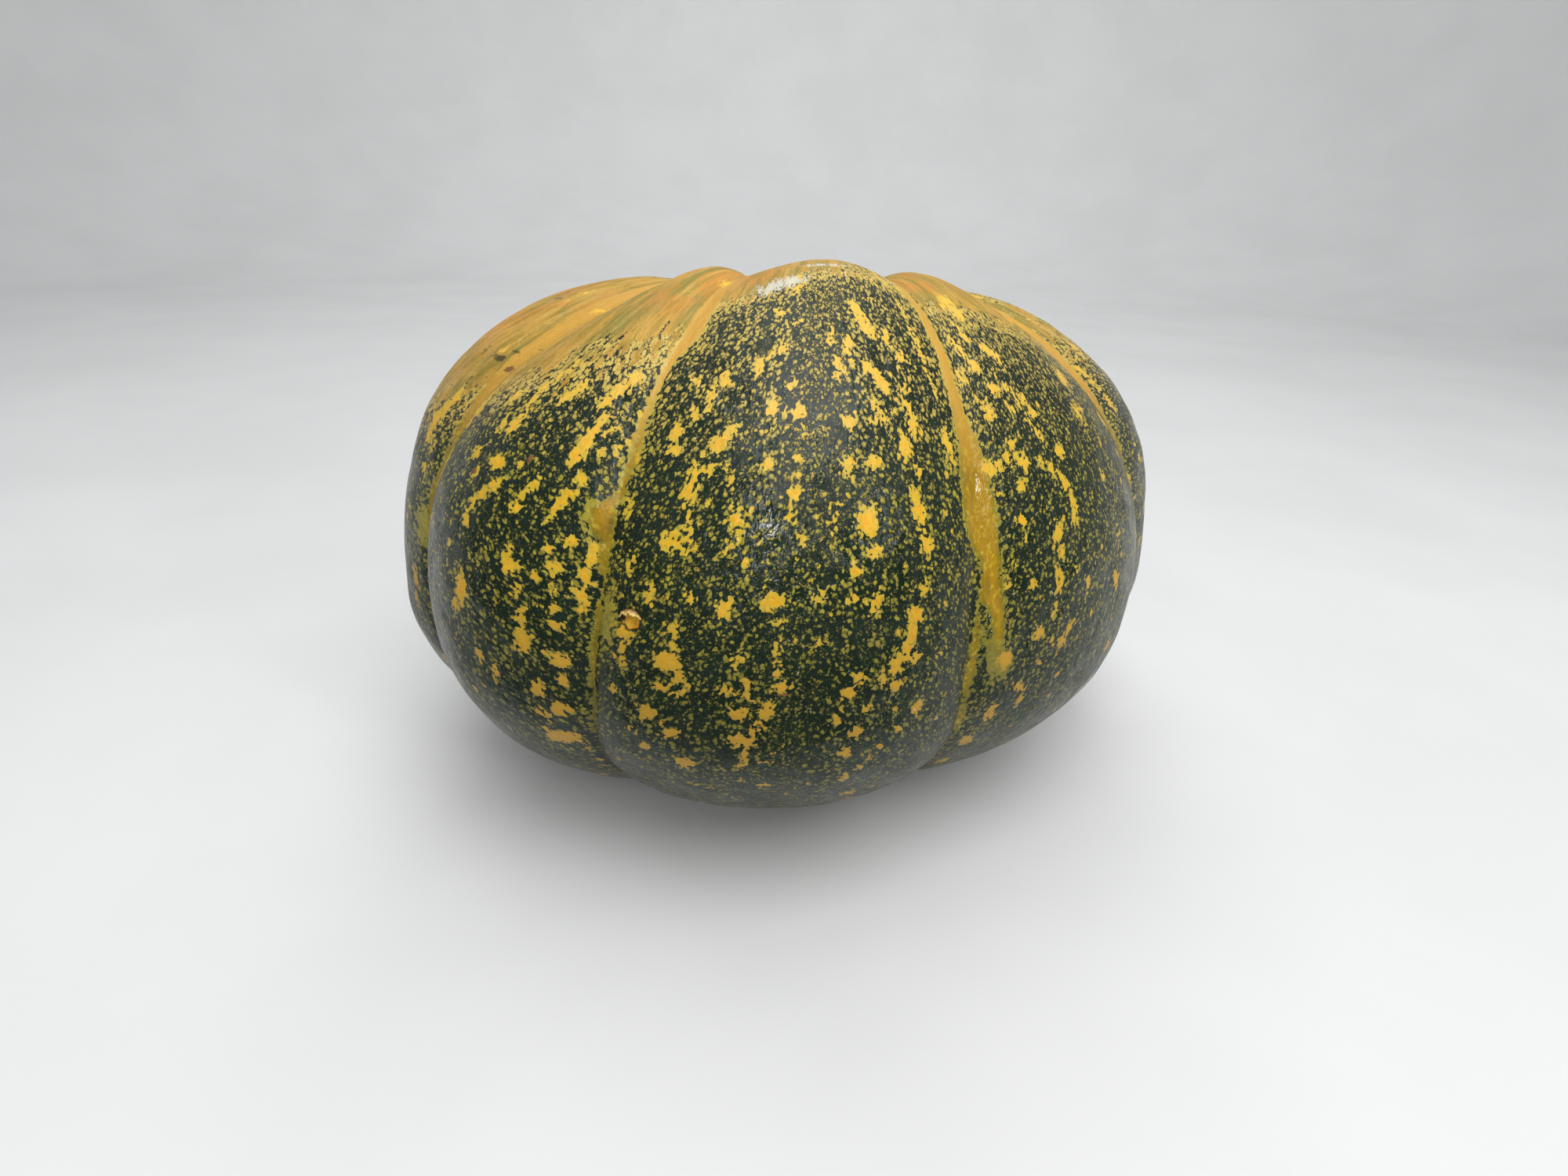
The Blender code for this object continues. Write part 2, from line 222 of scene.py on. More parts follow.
# Longer streaks: half widths in millimetres at the start and at the end, then the points that
# the streak runs through.
STREAKS = (
    (1.5, 1.2, ((0.958, 68.0), (0.950, 72.0), (0.955, 76.5))),
    (1.3, 1.3, ((1.61, 31.0), (1.63, 33.5), (1.67, 36.5))),
    (1.4, 1.6, ((1.635, 41.5), (1.67, 43.5), (1.69, 45.0))),
    (1.3, 1.8, ((1.76, 47.0), (1.775, 49.0), (1.79, 51.5))),
    (1.4, 1.0, ((1.20, 42.6), (1.185, 44.5), (1.18, 47.5))),
    (0.9, 1.2, ((1.27, 49.8), (1.25, 51.5))),
    (1.5, 1.7, ((1.765, 59.2), (1.79, 62.8))),
    (2.0, 1.6, ((1.78, 77.0), (1.77, 79.0), (1.75, 81.0))),
    (1.7, 0.9, ((1.44, 85.5), (1.425, 88.0), (1.405, 91.0), (1.40, 94.0), (1.39, 97.5))),
    (0.8, 0.7, ((1.80, 20.0), (1.84, 34.0), (1.855, 40.0), (1.885, 47.0))),
    (1.6, 0.8, ((1.90, 52.0), (1.915, 56.5))),
    (2.1, 1.0, ((2.05, 57.6), (2.115, 57.4))),
    (1.0, 1.0, ((0.53, 41.0), (0.48, 43.4))),
    (1.3, 1.3, ((0.45, 45.2), (0.47, 49.2), (0.46, 54.0))),
    (1.4, 1.4, ((0.65, 44.6), (0.61, 47.5))),
    (1.6, 1.8, ((0.87, 43.0), (0.80, 47.4))),
    (1.3, 2.1, ((0.83, 49.2), (0.82, 51.6), (0.80, 55.4))),
    (1.3, 1.4, ((0.70, 59.3), (0.675, 61.0), (0.66, 63.3))),
    (1.9, 1.1, ((0.83, 60.6), (0.81, 62.3), (0.79, 64.5))),
    (1.6, 1.6, ((0.55, 60.3), (0.51, 62.0), (0.47, 64.0))),
    (1.0, 1.1, ((2.06, 36.5), (2.085, 39.5))),
    (0.8, 0.8, ((2.14, 33.5), (2.15, 36.5))),
    (1.2, 1.3, ((2.22, 38.0), (2.27, 40.3))),
    (0.7, 0.8, ((2.235, 45.3), (2.27, 48.0))),
    (1.0, 1.0, ((2.29, 51.0), (2.31, 53.5))),
    (1.4, 1.5, ((2.31, 58.3), (2.35, 60.5), (2.36, 62.0))),
    (1.2, 1.4, ((2.36, 62.3), (2.375, 64.5), (2.36, 67.0))),
    (1.2, 1.0, ((2.265, 73.0), (2.275, 76.0), (2.27, 78.5), (2.25, 81.0))),
    (1.2, 1.2, ((2.33, 82.5), (2.30, 85.0), (2.29, 87.0))),
    (1.2, 1.3, ((2.60, 49.0), (2.60, 52.0))),
    (1.8, 1.4, ((3.10, 41.0), (3.13, 46.0), (3.15, 51.0))),
    (2.2, 2.2, ((9.83, 50.0), (9.80, 56.0), (9.80, 60.0))),
)
# Where the rind has ripened to gold or orange: along, polar, half width and half length in
# millimetres, and strength.
RIPE_PATCHES = (
    (9.70, 26.0, 42.0, 26.0, 1.25),
    (9.60, 46.0, 32.0, 20.0, 0.75),
    (0.30, 24.0, 34.0, 14.0, 0.78),
    (0.80, 20.0, 24.0, 9.0, 0.55),
    (0.55, 40.0, 34.0, 13.0, 0.22),
    (1.16, 23.0, 9.0, 10.0, 0.80),
    (1.45, 16.0, 34.0, 13.0, 0.95),
    (8.80, 30.0, 40.0, 22.0, 0.75),
    (3.20, 30.0, 26.0, 22.0, 0.70),
    (2.75, 27.0, 18.0, 14.0, 0.55),
    (2.40, 18.0, 24.0, 12.0, 0.70),
    (4.40, 23.0, 40.0, 18.0, 0.65),
    (5.60, 20.0, 44.0, 16.0, 0.60),
    (6.60, 22.0, 44.0, 16.0, 0.60),
    (7.70, 24.0, 44.0, 18.0, 0.70),
)
# Olive growth without a clear edge beside the furrows: the same, with no strength.
OLIVE_PATCHES = (
    (0.925, 62.5, 3.0, 5.0),
    (1.035, 77.0, 3.6, 9.0),
    (1.010, 92.0, 1.6, 14.0),
    (2.100, 87.0, 4.0, 5.0),
    (2.060, 83.0, 3.0, 8.0),
    (0.060, 62.0, 4.0, 9.0),
    (9.940, 76.0, 6.0, 9.0),
)
# Dull corky skin: the same, with a strength.
CORK_PATCHES = (
    (1.270, 26.5, 5.2, 3.0, 1.0),
    (1.360, 24.8, 5.2, 2.8, 1.0),
    (1.470, 20.3, 5.0, 1.3, 1.0),
    (1.600, 20.5, 4.2, 1.2, 0.8),
    (1.230, 36.5, 1.4, 1.0, 0.7),
    (1.900, 26.5, 0.9, 1.8, 0.8),
    (1.560, 32.0, 1.6, 0.8, 0.6),
    (2.820, 42.0, 2.0, 3.0, 0.6),
)
# Healed scabs: along, polar, half width and half length in millimetres.
SCABS = (
    (0.635, 56.3, 0.9, 1.6),
    (0.400, 59.8, 1.4, 1.1),
    (9.965, 43.6, 1.7, 1.5),
    (9.990, 38.8, 1.0, 0.8),
    (1.470, 83.9, 2.2, 0.7),
    (1.160, 99.8, 1.6, 0.7),
    (9.150, 28.0, 1.6, 1.4),
    (8.900, 58.0, 1.8, 1.5),
    (4.400, 66.0, 1.3, 1.8),
    (6.300, 52.0, 1.2, 1.0),
)
# Dark, water-logged spots: the same, with a strength.
DAMP_SPOTS = (
    (1.305, 38.2, 3.4, 2.6, 1.0),
    (9.850, 42.0, 4.6, 2.0, 0.9),
    (9.900, 40.0, 2.6, 1.4, 0.8),
    (9.600, 27.0, 3.4, 1.2, 0.8),
)
# Rind that is wet and shines: the same, with no strength.
WET_PATCHES = (
    (1.390, 63.5, 9.0, 6.0),
    (1.590, 65.0, 5.0, 5.0),
    (2.010, 60.0, 3.0, 3.5),
    (1.250, 46.0, 5.0, 3.0),
    (1.560, 35.0, 5.0, 2.5),
    (0.900, 46.0, 4.0, 4.0),
    (0.620, 52.0, 5.0, 3.0),
)
# A nick down to the flesh, under a flap of peel.
NICK = (1.100, 76.5, 2.5, 2.4)
NICK_DEPTH = 1.6
FLAP_START, FLAP_TURN = 172.0, 150.0  # degrees round the nick, from its right-hand edge

# The lobes that turn away from the front have flecks and bands drawn with this seed. Flecks are
# tried over these polar angles, but not on the part that has its own list. LOOSE_GAP is how far
# apart they stand in millimetres, and LOW_LOOSE_GAP the same where the rind turns under.
PATTERN_SEED = 11
LOOSE_TRIES = 2600
LOOSE_POLAR = (16.0, 158.0)
LISTED_ALONG = (0.22, 2.5)
LISTED_POLAR = (30.0, 104.0)
LOOSE_GAP = 7.6
LOW_LOOSE_GAP = 1.35 * LOOSE_GAP
LOBE_WIDTH = 46.0  # millimetres, at the waist
DEGREE_LENGTH = 1.5  # millimetres down the rind
OUTSIDE = -9.0  # what a field holds far from all its spots

# Cell sizes of the rind's spots, in millimetres.
SPECKLE_SIZE = 1.15
DOT_SIZE = 0.62
BLOT_SIZE = 4.0
WASH_SIZE = 2.0
# The polar angles over which the rind takes on its look by the stem, where speckles and flecks
# are also paler as painted sheen, and near the ground, where they are darker as painted shade.
HIGH_RIND = (62.0, 42.0)
LOW_SHADE_RIND = (62.0, 94.0)

# The stage: each lamp's width, its place and what it faces, in metres.
SQUASH_MIDDLE = (0.0, 0.0, 0.08)
LAMPS = {
    "key": (0.12, (0.0, -1.00, 0.50), SQUASH_MIDDLE),
    "side": (0.08, (0.66, -0.70, 0.40), SQUASH_MIDDLE),
    "front": (0.90, (0.20, -0.56, 1.08), SQUASH_MIDDLE),
    "top": (0.80, (-0.05, 0.28, 1.20), SQUASH_MIDDLE),
    "wall": (0.80, (0.0, 1.30, 1.40), (0.0, 2.00, 0.30)),
}
MAT_PLACE = (0.0, -0.32, 0.015)
MAT_SIZE = (0.90, 0.36)
CAMERA_PLACE = (-0.0018, -0.2781, 0.1827)
CAMERA_PITCH, CAMERA_YAW, CAMERA_ROLL = 0.45, -0.008, 0.032
SENSOR_WIDTH = 36.0  # millimetres


def deselect_all():
    """Clears the selection, which loading the frame leaves full."""
    if bpy.context.object is not None and bpy.context.object.mode != "OBJECT":
        bpy.ops.object.mode_set(mode="OBJECT")
    bpy.ops.object.select_all(action="DESELECT")


def carry(mesh, name, values, kind="FLOAT", key="value"):
    """Stores values on the mesh's points, for its material."""
    layer = mesh.attributes.new(name, kind, "POINT")
    layer.data.foreach_set(key, np.ascontiguousarray(values, dtype=np.float32).ravel())


# ---------------------------------------------------------------------------------------------
# Shader graphs
# ---------------------------------------------------------------------------------------------


class Value:
    """A shader socket, so that sums on sockets read like sums on numbers."""

    def __init__(self, graph, socket):
        self.graph = graph
        self.socket = socket

    def twin(self, output):
        """Another output of the same node."""
        return Value(self.graph, self.socket.node.outputs[output])

    def math(self, operation, *values):
        return self.graph.node("ShaderNodeMath", {"operation": operation}, dict(enumerate(values)))

    def __add__(self, other):
        return self.math("ADD", self, other)

    def __radd__(self, other):
        return self.math("ADD", other, self)

    def __sub__(self, other):
        return self.math("SUBTRACT", self, other)

    def __rsub__(self, other):
        return self.math("SUBTRACT", other, self)

    def __mul__(self, other):
        return self.math("MULTIPLY", self, other)

    def __rmul__(self, other):
        return self.math("MULTIPLY", other, self)

    def either(self, other):
        """The larger of two values."""
        return self.math("MAXIMUM", self, other)


class Graph:
    """The node tree of a new material or world, with its shader."""

    def __init__(self, name, owners=None):
        owners = bpy.data.materials if owners is None else owners
        self.owner = owners.new(name)
        self.owner.use_nodes = True
        self.tree = self.owner.node_tree
        self.shader = next(node for node in self.tree.nodes if "OUTPUT" not in node.type)

    def node(self, kind, settings, inputs, output=0):
        """Adds a node, sets it up, fills its sockets and returns one of its outputs."""
        made = self.tree.nodes.new(kind)
        for name, value in settings.items():
            setattr(made, name, value)
        for key, value in inputs.items():
            self.fill(made.inputs[key], value)
        return Value(self, made.outputs[output])

    def fill(self, socket, value):
        """Gives a socket a link, a number, a colour or a vector."""
        if isinstance(value, Value):
            self.tree.links.new(value.socket, socket)
        else:
            socket.default_value = value

    def attribute(self, name, output="Fac"):
        """A number or a vector that the mesh carries."""
        return self.node("ShaderNodeAttribute", {"attribute_name": name}, {}, output)

    def place(self, output="Object"):
        """Where a point of the surface is, in metres."""
        return self.node("ShaderNodeTexCoord", {}, {}, output)

    def noise(self, place, size, detail=2.0, roughness=0.5):
        """Soft noise round 0.5, with features of this size."""
        inputs = {"Vector": place, "Scale": 1.0 / size, "Detail": detail, "Roughness": roughness}
        return self.node("ShaderNodeTexNoise", {}, inputs, "Fac")

    def ramp(self, value, low, high):
        """A smooth step from 0 at low to 1 at high."""
        inputs = {"Value": value, "From Min": low, "From Max": high}
        return self.node("ShaderNodeMapRange", {"interpolation_type": "SMOOTHSTEP"}, inputs)

    def mix(self, factor, first, second):
        """A colour between two colours."""
        inputs = {0: factor, 6: colour_of(first), 7: colour_of(second)}
        return self.node("ShaderNodeMix", {"data_type": "RGBA"}, inputs, 2)

    def layers(self, colour, *layers):
        """Lays colours over a first one in turn, each through its own mask."""
        for mask, layer in layers:
            colour = self.mix(mask, colour, layer)
        return colour

    def vector(self, operation, *values):
        """Vector Math."""
        return self.node("ShaderNodeVectorMath", {"operation": operation}, dict(enumerate(values)))

    def bump(self, height, strength, distance):
        """A normal from a height in shares of the distance."""
        inputs = {"Height": height, "Strength": strength, "Distance": distance}
        return self.node("ShaderNodeBump", {}, inputs)

    def finish(self, **sockets):
        """Fills the shader's sockets, named with _ for a space, and returns their owner."""
        for name, value in sockets.items():
            self.fill(self.shader.inputs[name.replace("_", " ")], value)
        return self.owner


def colour_of(value):
    """A colour socket takes four numbers; a property holds three."""
    if isinstance(value, Value):
        return value
    return (*value[:3], 1.0)


# ---------------------------------------------------------------------------------------------
# The rind's form
# ---------------------------------------------------------------------------------------------


def lobes_from(start, along):
    """How many lobes it is from start to along, the shorter way round; less than 0 leftwards."""
    half = 0.5 * len(LOBES)
    return (along - start + half) % len(LOBES) - half


def seam_azimuths(level):
    """Azimuths in radians of all the furrows at these levels, with the first again at the end."""
    rows = []
    for azimuth, lean, stem_bow, blossom_bow, _swell in LOBES:
        above = azimuth + lean * level + stem_bow * level * level
        below = azimuth + lean * level * (1.0 + level) + blossom_bow * level * level
        rows.append(np.where(level < 0.0, below, above))
    rows.append(rows[0] + 360.0)
    return np.radians(np.array(rows))


def crown_height(azimuth, radius):
    """The shoulders stand higher at the front, and less so near the axis."""
    lift = CROWN_FRONT_LIFT * np.cos(azimuth) + CROWN_SIDE_LIFT * np.sin(azimuth)
    lift = lift + CROWN_SADDLE * np.cos(2.0 * azimuth) + CROWN_SKEW * np.sin(2.0 * azimuth)
    return CROWN_HEIGHT * (1.0 + lift * (1.0 - np.exp(-((radius / CROWN_LIFT_RADIUS) ** 2))))


def rind_points(along, polar):
    """Surface points in metres, before settling, and the lobe's width there in millimetres."""
    lobe = np.minimum(along.astype(int), len(LOBES) - 1)
    across = along - lobe
    level = np.cos(polar)
    above = level >= 0.0
    out = np.maximum(np.sin(polar), 0.0) ** (2.0 * np.where(above, CROWN_TAPER, BELLY_TAPER))

    seams = seam_azimuths(level)
    left = np.take_along_axis(seams, lobe[None], axis=0)[0]
    right = np.take_along_axis(seams, lobe[None] + 1, axis=0)[0]
    azimuth = left + (right - left) * across
    rise = np.maximum(level, 0.0)
    sharpness = SEAM_SHARPNESS + SEAM_ROUNDING * rise
    bulge = np.maximum(np.sin(np.pi * across), 0.0) ** sharpness
    bulge = np.where(across > 0.0, bulge, 0.0)
    valley = 1.0 - bulge
    depth = SEAM_DEPTH * (1.0 - SEAM_FADE * rise)

    side = PLAN_SIDE * np.sin(azimuth)
    oval = PLAN_LENGTH * np.cos(2.0 * azimuth) + PLAN_SKEW * np.sin(2.0 * azimuth)
    swells = np.array([row[-1] for row in LOBES])
    swell = swells[lobe] * (SWELL_AT_WAIST + (1.0 - SWELL_AT_WAIST) * level)
    radius = out * (1.0 + side + oval) * (1.0 + swell * bulge - depth * valley)
    near_end = (radius - SEAM_END_RADIUS) / SEAM_END_RADIUS
    end_valley = 1.0 - SEAM_END_DEPTH * valley * np.exp(-near_end * near_end)

    crown = crown_height(azimuth, radius) * level
    crown = crown - STEM_HOLLOW_DEPTH * np.exp(-((radius / STEM_HOLLOW_RADIUS) ** 2))
    crown = BELLY_DEPTH + crown * end_valley
    belly = BELLY_DEPTH + BELLY_DEPTH * level * end_valley
    belly = np.where(belly < BASE_LEVEL, BASE_LEVEL - (BASE_LEVEL - belly) * BASE_GIVE, belly)
    belly = belly + BLOSSOM_HOLLOW_DEPTH * np.exp(-((radius / BLOSSOM_HOLLOW_RADIUS) ** 2))
    height = np.where(above, crown, belly)
    height = height + SIDE_LEAN * radius * np.sin(azimuth) * np.minimum(1.0, height / LEAN_START)
    points = np.stack((radius * np.sin(azimuth), -radius * np.cos(azimuth), height), axis=-1)
    width = radius * HALF_WIDTH * (right - left) / MM
    return HALF_WIDTH * points, width


class Rind:
    """The rind as a grid of rings and columns, with a measure of its surface at each point."""

    def __init__(self):
        lobes = [lobe + np.arange(columns) / columns for lobe, columns in enumerate(COLUMNS)]
        self.along = np.concatenate(lobes)
        stops = np.array(RING_STOPS)
        self.polar = np.interp(np.arange(stops[-1, 0] + 1), stops[:, 0], stops[:, 1])
        polar, along = np.meshgrid(np.radians(self.polar), self.along, indexing="ij")
        points, self.lobe_width = rind_points(along, polar)
        self.shift = -0.5 * (points.min(axis=(0, 1)) + points.max(axis=(0, 1)))
        self.shift[2] = -points[..., 2].min() - REST_FLAT
        self.points = points + self.shift
        self.points[..., 2] = np.maximum(self.points[..., 2], 0.0)
        steps = np.linalg.norm(np.diff(self.points, axis=0), axis=2) / MM
        self.arc = np.concatenate((np.zeros_like(steps[:1]), np.cumsum(steps, axis=0)))
        self.ring_gap = np.gradient(self.arc, self.polar, axis=0)

    def at(self, along, polar):
        """A place on the rind, and the directions to its right, down and out of it there."""
        turn = np.array([along, along + 0.002, along]) % len(LOBES)
        points, _width = rind_points(turn, np.radians([polar, polar, polar + 0.1]))
        place, right, down = (Vector(point) for point in points + self.shift)
        right = (right - place).normalized()
        out = (down - place).cross(right).normalized()
        return place, right, right.cross(out), out

    def normals(self):
        """Outward unit normals."""
        down = np.gradient(self.points, axis=0)
        right = 0.5 * (np.roll(self.points, -1, axis=1) - np.roll(self.points, 1, axis=1))
        normals = np.cross(down, right)
        length = np.linalg.norm(normals, axis=2, keepdims=True)
        return normals / np.maximum(length, 1e-12)

    def offsets(self, along, polar):
        """How far every point is from a place, in millimetres to its right and down from it."""
        turn = lobes_from(along, self.along)
        return turn[None, :] * self.lobe_width, (self.polar - polar)[:, None] * self.ring_gap

    def spot(self, along, polar, half_width, half_length):
        """Millimetres inside an oval, which fall off at the same rate outside it."""
        right, down = self.offsets(along, polar)
        reach = np.hypot(right / half_width, down / half_length)
        return (1.0 - reach) * min(half_width, half_length)

    def streak(self, start, end, places):
        """Millimetres inside a streak that runs through places, with its two half widths."""
        best = np.full(self.arc.shape, -99.0)
        legs = len(places) - 1
        for leg in range(legs):
            right, down = self.offsets(*places[leg])
            other_right, other_down = self.offsets(*places[leg + 1])
            run = np.stack((right - other_right, down - other_down))
            length = np.maximum((run * run).sum(axis=0), 1e-9)
            share = np.clip((right * run[0] + down * run[1]) / length, 0.0, 1.0)
            gap = np.hypot(right - share * run[0], down - share * run[1])
            half_width = start + (end - start) * (leg + share) / legs
            best = np.maximum(best, half_width - gap)
        return best

    def band(self, furrow, rows):
        """Millimetres inside a band along a furrow, which narrows towards its ends."""
        rows = np.array(rows)
        turn = lobes_from(furrow, self.along)
        left = np.interp(self.polar, rows[:, 0], rows[:, 1])[:, None]
        right = np.interp(self.polar, rows[:, 0], rows[:, 2])[:, None]
        inside = np.minimum(turn[None, :] - left, right - turn[None, :]) * self.lobe_width
        ends = np.minimum(self.polar - rows[0, 0], rows[-1, 0] - self.polar)[:, None]
        inside = inside - 3.0 * np.exp(-np.maximum(ends, 0.0) / 3.0)
        return np.minimum(inside, ends * self.ring_gap)

    def soft_spot(self, along, polar, half_width, half_length, strength=1.0):
        """A bell-shaped patch."""
        right, down = self.offsets(along, polar)
        return strength * np.exp(-((right / half_width) ** 2) - (down / half_length) ** 2)


def largest(fields):
    """The largest of many fields at each point."""
    best = OUTSIDE
    for field in fields:
        best = np.maximum(best, field)
    return best


def gap_between(place, other):
    """About how many millimetres there are between two places."""
    along, polar = place
    across = lobes_from(along, other[0]) * LOBE_WIDTH * math.sin(math.radians(polar))
    return math.hypot(across, (other[1] - polar) * DEGREE_LENGTH)


def loose_flecks(draw):
    """Flecks for the lobes that turn away from the front, kept apart from each other."""
    placed = [fleck[:2] for fleck in FLECKS]
    flecks = []
    for _try in range(LOOSE_TRIES):
        along = draw.uniform(0.0, len(LOBES))
        polar = draw.uniform(*LOOSE_POLAR)
        half_width = draw.uniform(0.8, 2.5)
        stretch = draw.uniform(0.7, 1.9)
        lean = draw.uniform(-0.02, 0.02)
        listed = LISTED_ALONG[0] < along < LISTED_ALONG[1] and LISTED_POLAR[0] < polar < LISTED_POLAR[1]
        apart = LOOSE_GAP if polar < 100.0 else LOW_LOOSE_GAP
        if listed or any(gap_between((along, polar), other) < apart for other in placed):
            continue
        placed.append((along, polar))
        flecks.append((along, polar, half_width, half_width * stretch))
        if draw.random() < 0.35:
            tail = polar + 1.6 * half_width
            flecks.append((along + lean, tail, half_width * 0.6, half_width * 1.5))
    return flecks


def back_bands(draw):
    """Bands for the furrows that turn away from the front, which narrow below the waist."""
    listed = max(furrow for furrow, _rows in BANDS)
    bands = []
    for furrow in range(listed + 1, len(LOBES)):
        rows = [(12.0, -0.10, 0.10)]
        for polar in range(24, 125, 9):
            half_width = 0.5 * draw.uniform(0.03, 0.11) * (1.0 if polar < 90 else 0.45)
            middle = draw.uniform(-0.03, 0.03)
            rows.append((float(polar), middle - half_width, middle + half_width))
        bands.append((furrow, tuple(rows)))
    return bands


def swelling(place):
    """How far the rind stands out from its smooth form, in millimetres, apart from its scars."""
    place = Vector(place)
    broad = noise.noise(place * 42.0)
    narrow = noise.noise(place * 125.0 + Vector((7.0, 3.0, 1.0)))
    return 0.55 * broad + 0.20 * narrow


def relief(rind):
    """How far each point of the rind stands out from its smooth form, in millimetres."""
    swell = np.array([swelling(place) for place in rind.points.reshape(-1, 3)])
    cut = np.clip(0.3 + 0.6 * rind.spot(*NICK), 0.0, 1.0)
    return swell.reshape(rind.arc.shape) - NICK_DEPTH * cut


# ---------------------------------------------------------------------------------------------
# Materials
# ---------------------------------------------------------------------------------------------


class RindGraph(Graph):
    """The rind's material: masks for all that grows on it, then its colours and its finish."""

    def __init__(self, settings):
        super().__init__("squash_rind")
        self.settings = settings
        fields = ("flecks", "bands", "olive", "ripe", "cork", "scabs", "damp", "nick", "wet", "down")
        self.field = {name: self.attribute(name) for name in fields}
        self.skin = self.attribute("rind_place", "Vector")
        self.strand = self.vector("MULTIPLY", self.skin, (1.0, 1.0, 0.30))
        self.fibre = self.vector("MULTIPLY", self.skin, (1.0, 1.0, 0.12))
        inputs = {"Vector": self.skin, "Scale": 0.55, "Detail": 2.0}
        drift = self.node("ShaderNodeTexNoise", {}, inputs, "Color")
        self.shaken = self.vector("MULTIPLY_ADD", drift, (1.8, 1.8, 1.8), self.skin)
        self.ragged = self.spread(0.45, 1.0, 1.0)
        # high makes speckles and flecks paler by the stem as painted sheen, besides its other uses
        self.high = self.ramp(self.field["down"], *HIGH_RIND)
        # low darkens speckles and flecks near the ground as painted shade
        self.low = self.ramp(self.field["down"], *LOW_SHADE_RIND)
        self.lay_out_pattern()
        self.lay_out_scars()

    def spread(self, size, reach, detail=2.0, roughness=0.5, source=None):
        """Noise round 0, whose usual reach is plus or minus this much."""
        return (self.noise(source or self.skin, size, detail, roughness) - 0.5) * (4.0 * reach)

    def grain(self, size, low, high, source=None, detail=3.0):
        """Patches between 0 and 1."""
        return self.ramp(self.noise(source or self.skin, size, detail, 0.6), low, high)

    def spots(self, size, least, most, rag, edge, growth=0.0, source=None):
        """Ragged spots, one to a cell and some of them missing, and a random tone for each."""
        inputs = {"Vector": source or self.shaken, "Scale": 1.0 / size}
        gap = self.node("ShaderNodeTexVoronoi", {}, inputs, "Distance")
        chance = self.node("ShaderNodeSeparateColor", {}, {0: gap.twin("Color")})
        reach = least + (most - least) * chance + growth
        return self.ramp(reach - gap + rag * self.ragged, -edge, edge), chance.twin("Green")

    def lay_out_pattern(self):
        """Masks for the speckles, the flecks, the bands and the ripe rind."""
        field = self.field
        self.inside = field["flecks"] - 0.3 + self.spread(2.8, 0.95) + self.spread(1.2, 0.95, 1.0)
        loose = 1.0 - 0.6 * self.high
        shift = 0.1 + self.spread(3.5, 0.8, 2.0, 0.5, self.strand) + self.spread(1.2, 0.7, 1.0)
        self.in_band = field["bands"] + shift * loose
        in_olive = 2.3 * field["olive"] - 1.5 + self.spread(2.6, 0.8)

        # Speckles crowd together towards the stem, beside the furrows and where the rind ripens.
        # They swell into each other to make up flecks and bands, whose edges are lumpy.
        crowd = self.spread(9.0, 0.035) + 0.07 * self.ramp(field["bands"], -8.0, -0.5)
        crowd = crowd + 0.08 * self.ramp(field["down"], 62.0, 30.0)
        crowd = crowd + 0.26 * self.ramp(field["ripe"], 0.02, 0.45)
        growing = self.ramp(self.inside.either(self.in_band).either(in_olive), -0.75, 1.15)
        growth = crowd + 0.95 * growing
        self.speckles, self.tone = self.spots(SPECKLE_SIZE, -0.03, 0.54, 0.13, 0.20, growth)
        self.dots, _tone = self.spots(DOT_SIZE, -0.16, 0.40, 0.10, 0.14)
        self.blots, _tone = self.spots(BLOT_SIZE, -0.38, 0.26, 0.085, 0.06)

        self.flecks = self.ramp(self.inside, -0.7, 0.3) * self.speckles
        self.heart = self.ramp(self.inside, 0.1, 1.8)
        self.pits = self.grain(1.15, 0.66, 0.72, detail=1.0) * (1.0 - 0.6 * self.heart)
        self.bands = self.ramp(self.in_band, -0.1, 0.9)

        # Ripe rind begins as drawn-out spots, which run together.
        streaks = self.spread(8.0, 0.22, 3.0, 0.6, self.strand)
        streaks = streaks + self.spread(2.4, 0.12, 2.0, 0.6, self.strand)
        wash = self.ramp(field["ripe"] + streaks, 0.16, 1.05)
        drawn_out = self.vector("MULTIPLY", self.shaken, (1.0, 1.0, 0.42))
        net, _tone = self.spots(WASH_SIZE, -0.16, 0.20, 0.16, 0.09, wash, drawn_out)
        self.ripe = net * self.ramp(field["ripe"], 0.08, 0.25)

    def lay_out_scars(self):
        """Masks for damp spots, corky skin, scabs and wet rind."""
        field = self.field
        self.damp = self.ramp(field["damp"] + self.spread(2.0, 0.25), 0.45, 0.75)
        flakes = self.spread(0.8, 0.40, 3.0, 0.7) + self.spread(2.4, 0.30, 2.0, 0.6, self.strand)
        self.cork = self.ramp(0.62 * field["cork"] + flakes, 0.42, 0.56)
        self.scabs = self.ramp(field["scabs"] + self.spread(0.9, 0.3), 0.0, 0.4)
        runs = self.spread(1.6, 0.30, 2.0, 0.5, self.strand)
        self.wet = self.ramp(field["wet"] + runs, 0.30, 0.75)

    def speckle_colour(self):
        """Olive, paler where the rind ripens, paler by the stem as painted sheen and darker near the
        ground as painted shade.
        """
        tints = self.settings
        # Paler by the stem as painted sheen, and paler where the rind ripens.
        paler = (0.7 * self.high).either(self.ramp(self.field["ripe"], 0.04, 0.35))
        return self.layers(
            tints.speckle_colour,
            (0.10 + 0.55 * self.tone, tints.edge_colour),
            (paler, tints.speckle_ripe_and_sheen_colour),
            # Darker near the ground as painted shade.
            (0.70 * self.low, tints.speckle_shade_colour),
        )

